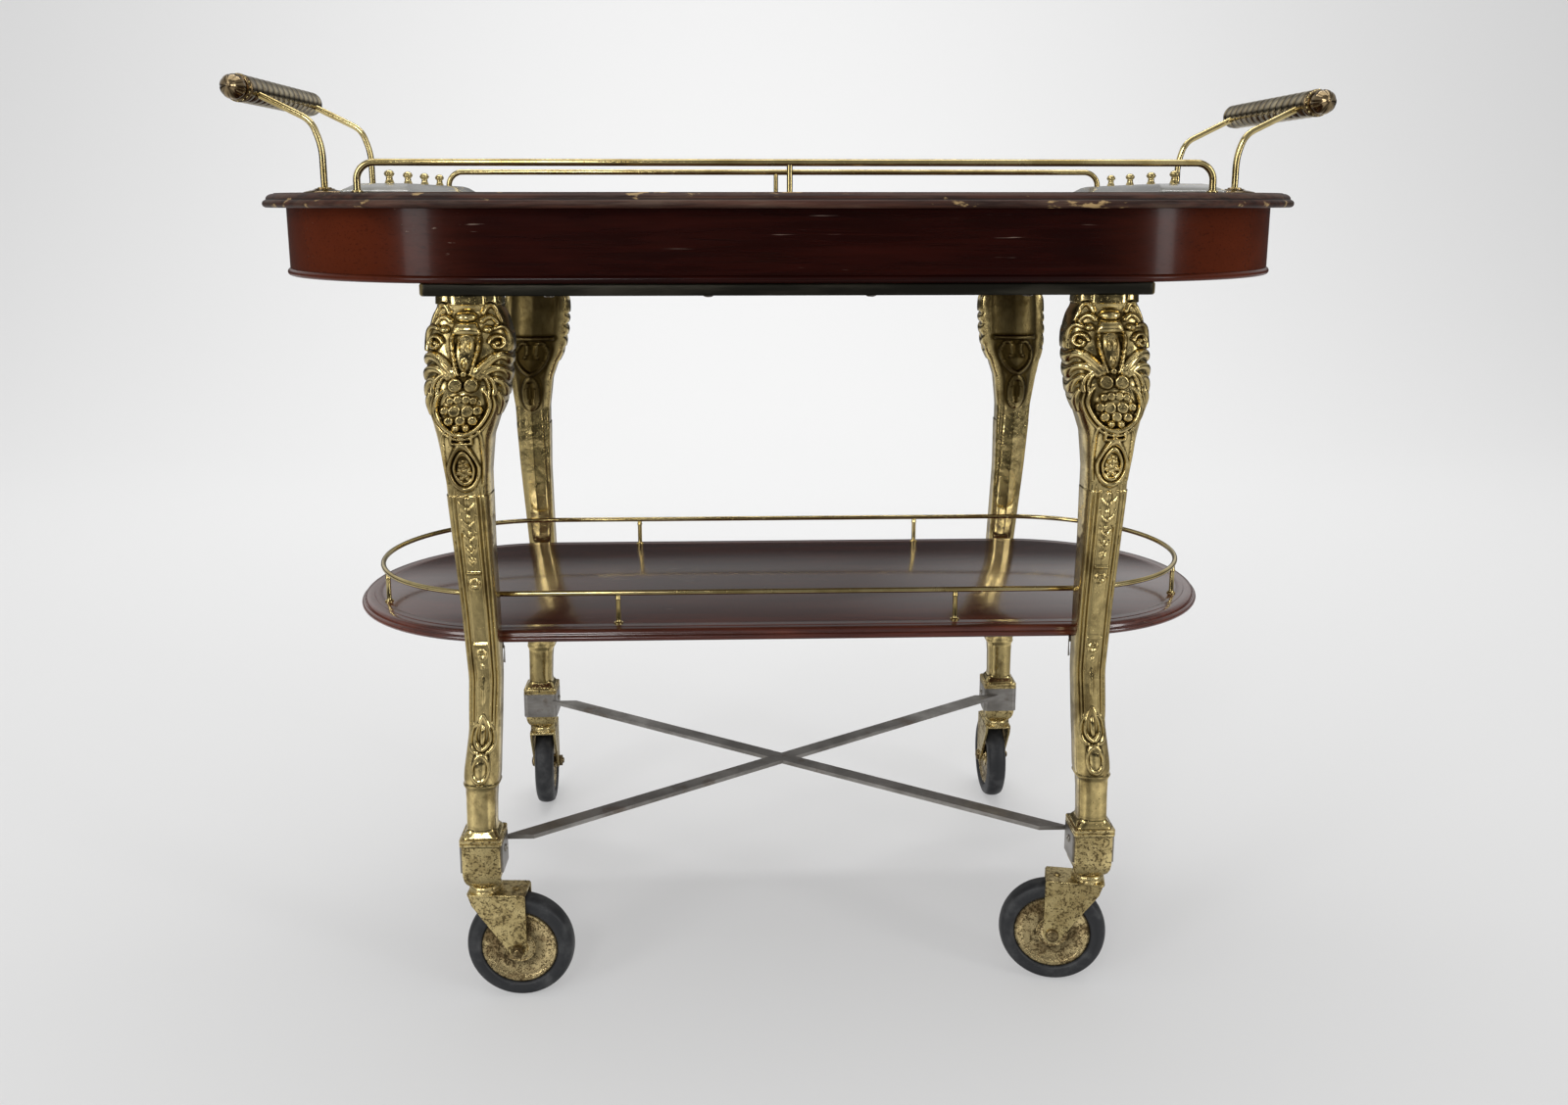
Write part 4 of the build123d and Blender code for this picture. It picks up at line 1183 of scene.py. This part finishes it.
def forkShape(trail, wheelR, swivelZ):
    # The fork in its own frame: swivel at the origin, wheel behind it along +X.
    thick, endR = casterSize["cheekThick"], casterSize["cheekEndR"]
    halfWidth = casterSize["halfWidth"]
    plateZ = swivelZ - casterSize["plateThick"]
    back, front = casterSize["cheekBack"], trail + endR
    outline = [(back + 5, plateZ - 8)]
    outline += arc(trail, wheelR, endR, 215, 360, 14)
    outline += [(front, plateZ + 0.6), (front - 1.4, plateZ + 2.6), (back + 3.4, plateZ + 2.6),
                (back + 2.2, plateZ + 0.6)]
    fork = slab(outline, halfWidth - thick, halfWidth) + slab(outline, -halfWidth, thick - halfWidth)
    plateLevels = [(plateZ, 0.6), (plateZ + 0.7, 0.0), (swivelZ - 0.7, 0.0), (swivelZ, 0.6)]
    plate = block((front - back) / 2, halfWidth, 5.0, plateLevels).moved((front + back) / 2)
    cup = lathe(lifted(casterSize["cup"], swivelZ), 48)
    rivet = lathe(lifted(casterSize["rivet"], swivelZ), 24).moved(trail - 3.0)
    stem = lathe(lifted(casterSize["stem"], swivelZ), 24)
    return fork + plate + cup + rivet + stem


def axleShape():
    # Axle along +Y through the hub, with a domed head and a nut.
    halfWidth, shankR = casterSize["halfWidth"], casterSize["shankR"]
    shank = lathe([(shankR, -halfWidth), (shankR, halfWidth)], 24)
    head = lathe(lifted(casterSize["head"], halfWidth), 32)
    nut = lathe(lifted(casterSize["nut"], -halfWidth, -1), 6)
    tip = lathe(lifted(casterSize["tip"], -halfWidth, -1), 24)
    return (shank + head + nut + tip).zTowards((0, 1, 0))


def hubShape():
    side = lifted(casterSize["hub"], casterSize["halfTyre"] - casterSize["discInset"])
    hub = ringLathe(side + [(r, -z) for r, z in reversed(side)], 96)
    reach = np.hypot(hub.points[:, 0], hub.points[:, 1])
    rim = reach > casterSize["hubR"] - 0.7
    # painted shade: a dark rim where the tyre's lip meets the hub, and a darker ring along the groove step
    hub.paintedShade = 0.9 * rim + 0.5 * (np.abs(reach - casterSize["shadedRing"]) < 0.7)
    return hub.zTowards((0, 1, 0))


def tyreShape(wheelR):
    r, halfTyre = casterSize["hubR"], casterSize["halfTyre"]
    side = [(r, halfTyre - 2.6), (r + 0.8, halfTyre - 1.0), (r + 2.4, halfTyre), (wheelR - 7.0, halfTyre),
            (wheelR - 5.6, halfTyre - 0.5)]
    side += [(wheelR - 4.6 + 4.6 * out, (halfTyre - 1.0) * up) for out, up in arc(0, 0, 1.0, 80, 0, 10)]
    profile = side + [(a, -b) for a, b in reversed(side[:-1])]
    return ringLathe(profile, 112).zTowards((0, 1, 0))


for face, side in corners:
    tag = face + "_" + side
    swivel = np.array(joints["swivel_" + tag]["pos_m"]) / mm
    wheel = np.array(joints["roll_" + tag]["pos_m"]) / mm
    away = wheel - swivel
    trail, turn = hypot(away[0], away[1]), atan2(away[1], away[0])
    swivelZ = boxOf("caster_socket_" + tag)[0][2] - casterSize["socketGap"]
    fork = forkShape(trail, wheel[2], swivelZ).turnedZ(turn).moved(swivel[0], swivel[1])
    addPiece("fork_" + tag, fork, finish["worn"], ["caster_fork_" + tag], "caster_" + tag,
             bevel=casterSize["bevel"])
    parts = [("axle", axleShape(), "axle", "bolt_steel", "caster_"),
             ("hub", hubShape(), "hub", "worn_brass", "wheel_"),
             ("tyre", tyreShape(wheel[2]), "rubber", "tyre", "wheel_")]
    for name, shape, look, slot, body in parts:
        addPiece(name + "_" + tag, shape.turnedZ(turn).moved(*wheel), finish[look],
                 [body + name + "_" + tag], body + tag)
print("casters done")

# In metres: a paper sweep that turns up behind the trolley
stageSize = {"halfWidth": 9.0, "front": -7.0, "turn": 3.2, "back": 5.6, "top": 7.0,
             "tone": 0.38, "glow": 0.33}

turnR = stageSize["turn"]
sweepLine = [(stageSize["front"], 0.0), (stageSize["back"] - turnR, 0.0)]
for a in np.radians(np.linspace(4, 90, 22)):
    sweepLine.append((stageSize["back"] - turnR + turnR * sin(a), turnR * (1 - cos(a))))
sweepLine.append((stageSize["back"], stageSize["top"]))
floorMesh = bpy.data.meshes.new("floor")
wide = stageSize["halfWidth"]
floorMesh.from_pydata([(x, y, z) for y, z in sweepLine for x in (-wide, wide)], [],
                      [(2 * i, 2 * i + 1, 2 * i + 3, 2 * i + 2) for i in range(len(sweepLine) - 1)])
floorMesh.polygons.foreach_set("use_smooth", [True] * len(floorMesh.polygons))
floor = link("floor", floorMesh)
floor.visible_glossy = False  # polished brass mirrors the room and the soft boxes, not the paper
paper = Shader("floorPaper")
paper.surface.inputs["Emission Color"].default_value = (1, 1, 1, 1)
paper.surface.inputs["Emission Strength"].default_value = stageSize["glow"]
floorMesh.materials.append(paper.finish(color=(stageSize["tone"],) * 3, roughness=0.9))

# Height of the direction, from straight down at 0 to straight up at 1, and its tone
roomTones = [(0.0, 0.20), (0.24, 0.80), (0.34, 0.38), (0.40, 0.66), (0.45, 0.05), (0.52, 0.035),
             (0.60, 0.50), (0.74, 0.55), (0.86, 0.15), (1.0, 0.5)]
# Left to right round the room: a dark middle behind the camera
roomSides = [(0.0, 0.8), (0.28, 1.5), (0.42, 0.60), (0.56, 0.50), (0.68, 1.4), (1.0, 0.7)]
roomFill = 0.56  # even light from all round, on everything that isn't a mirror


def studioWorld():
    world = bpy.data.worlds.new("studio")
    world.use_nodes = True
    nodes, links = world.node_tree.nodes, world.node_tree.links
    room = nodes["Background"]
    fill = nodes.new("ShaderNodeBackground")
    fill.inputs["Strength"].default_value = roomFill
    place = nodes.new("ShaderNodeTexCoord")
    split = nodes.new("ShaderNodeSeparateXYZ")
    share = nodes.new("ShaderNodeMapRange")
    share.inputs["From Min"].default_value = -1.0
    ramps = []
    for tones in (roomTones, roomSides):
        ramp = nodes.new("ShaderNodeValToRGB")
        while len(ramp.color_ramp.elements) < len(tones):
            ramp.color_ramp.elements.new(0.5)
        for element, (spot, tone) in zip(ramp.color_ramp.elements, tones):
            element.position = spot
            element.color = (tone, tone, tone, 1)
        ramps.append(ramp)
    sideShare = nodes.new("ShaderNodeMapRange")
    sideShare.inputs["From Min"].default_value = -1.0
    links.new(split.outputs["X"], sideShare.inputs["Value"])
    links.new(sideShare.outputs["Result"], ramps[1].inputs["Fac"])
    ray = nodes.new("ShaderNodeLightPath")
    mix = nodes.new("ShaderNodeMixShader")
    links.new(place.outputs["Generated"], split.inputs[0])
    links.new(split.outputs["Z"], share.inputs["Value"])
    links.new(share.outputs["Result"], ramps[0].inputs["Fac"])
    links.new(ramps[0].outputs["Color"], room.inputs["Color"])
    links.new(ramps[1].outputs["Color"], room.inputs["Strength"])
    links.new(ray.outputs["Is Glossy Ray"], mix.inputs[0])
    links.new(fill.outputs[0], mix.inputs[1])
    links.new(room.outputs[0], mix.inputs[2])
    links.new(mix.outputs[0], nodes["World Output"].inputs[0])
    return world


bpy.context.scene.world = studioWorld()


# Place, target, width, height and watts
lamps = {
    "softboxLeft": ((-2.5, -2.6, 1.5), (0, 0, 0.5), 0.8, 2.2, 30),
    "softboxRight": ((2.9, -2.3, 1.4), (0, 0, 0.45), 0.6, 2.0, 26),
    "keyBox": ((-0.55, -2.1, 1.5), (0, 0, 0.45), 0.36, 0.36, 8),
    "overhead": ((0.0, 0.4, 3.4), (0, 0.2, 0.4), 3.6, 2.4, 42),
    "backdropLight": ((0.0, 1.6, 3.6), (0, 5.2, 1.0), 3.0, 1.2, 150),
    "floorWash": ((0.0, -2.4, 0.9), (0, 0.2, 0.0), 1.6, 0.5, 9),
}
for name, (place, target, wide, tall, power) in lamps.items():
    light = bpy.data.lights.new(name, "AREA")
    light.shape = "RECTANGLE"
    light.size = wide
    light.size_y = tall
    light.energy = power
    lamp = link(name, light)
    lamp.location = place
    lamp.rotation_euler = (Vector(target) - Vector(place)).to_track_quat("-Z", "Y").to_euler()
    lamp.visible_glossy = name != "floorWash"  # the wash fills the floor and never shows in the brass

cameraSize = {"lens": 30.48, "sensor": 36, "shiftX": 0.0014, "shiftY": -0.05,
              "x": -0.0480, "ahead": -1.3321, "z": 0.7297, "down": 0.202, "pan": -0.036}
cameraData = bpy.data.cameras.new("camera")
cameraData.lens = cameraSize["lens"]
cameraData.sensor_width = cameraSize["sensor"]
cameraData.shift_x = cameraSize["shiftX"]
cameraData.shift_y = cameraSize["shiftY"]
camera = link("camera", cameraData)
camera.location = (cameraSize["x"], cameraSize["ahead"] + midY * mm, cameraSize["z"])
camera.rotation_euler = (pi / 2 - cameraSize["down"], 0, cameraSize["pan"])
bpy.context.scene.camera = camera
bpy.context.scene.view_settings.view_transform = "Standard"
print("stage done")
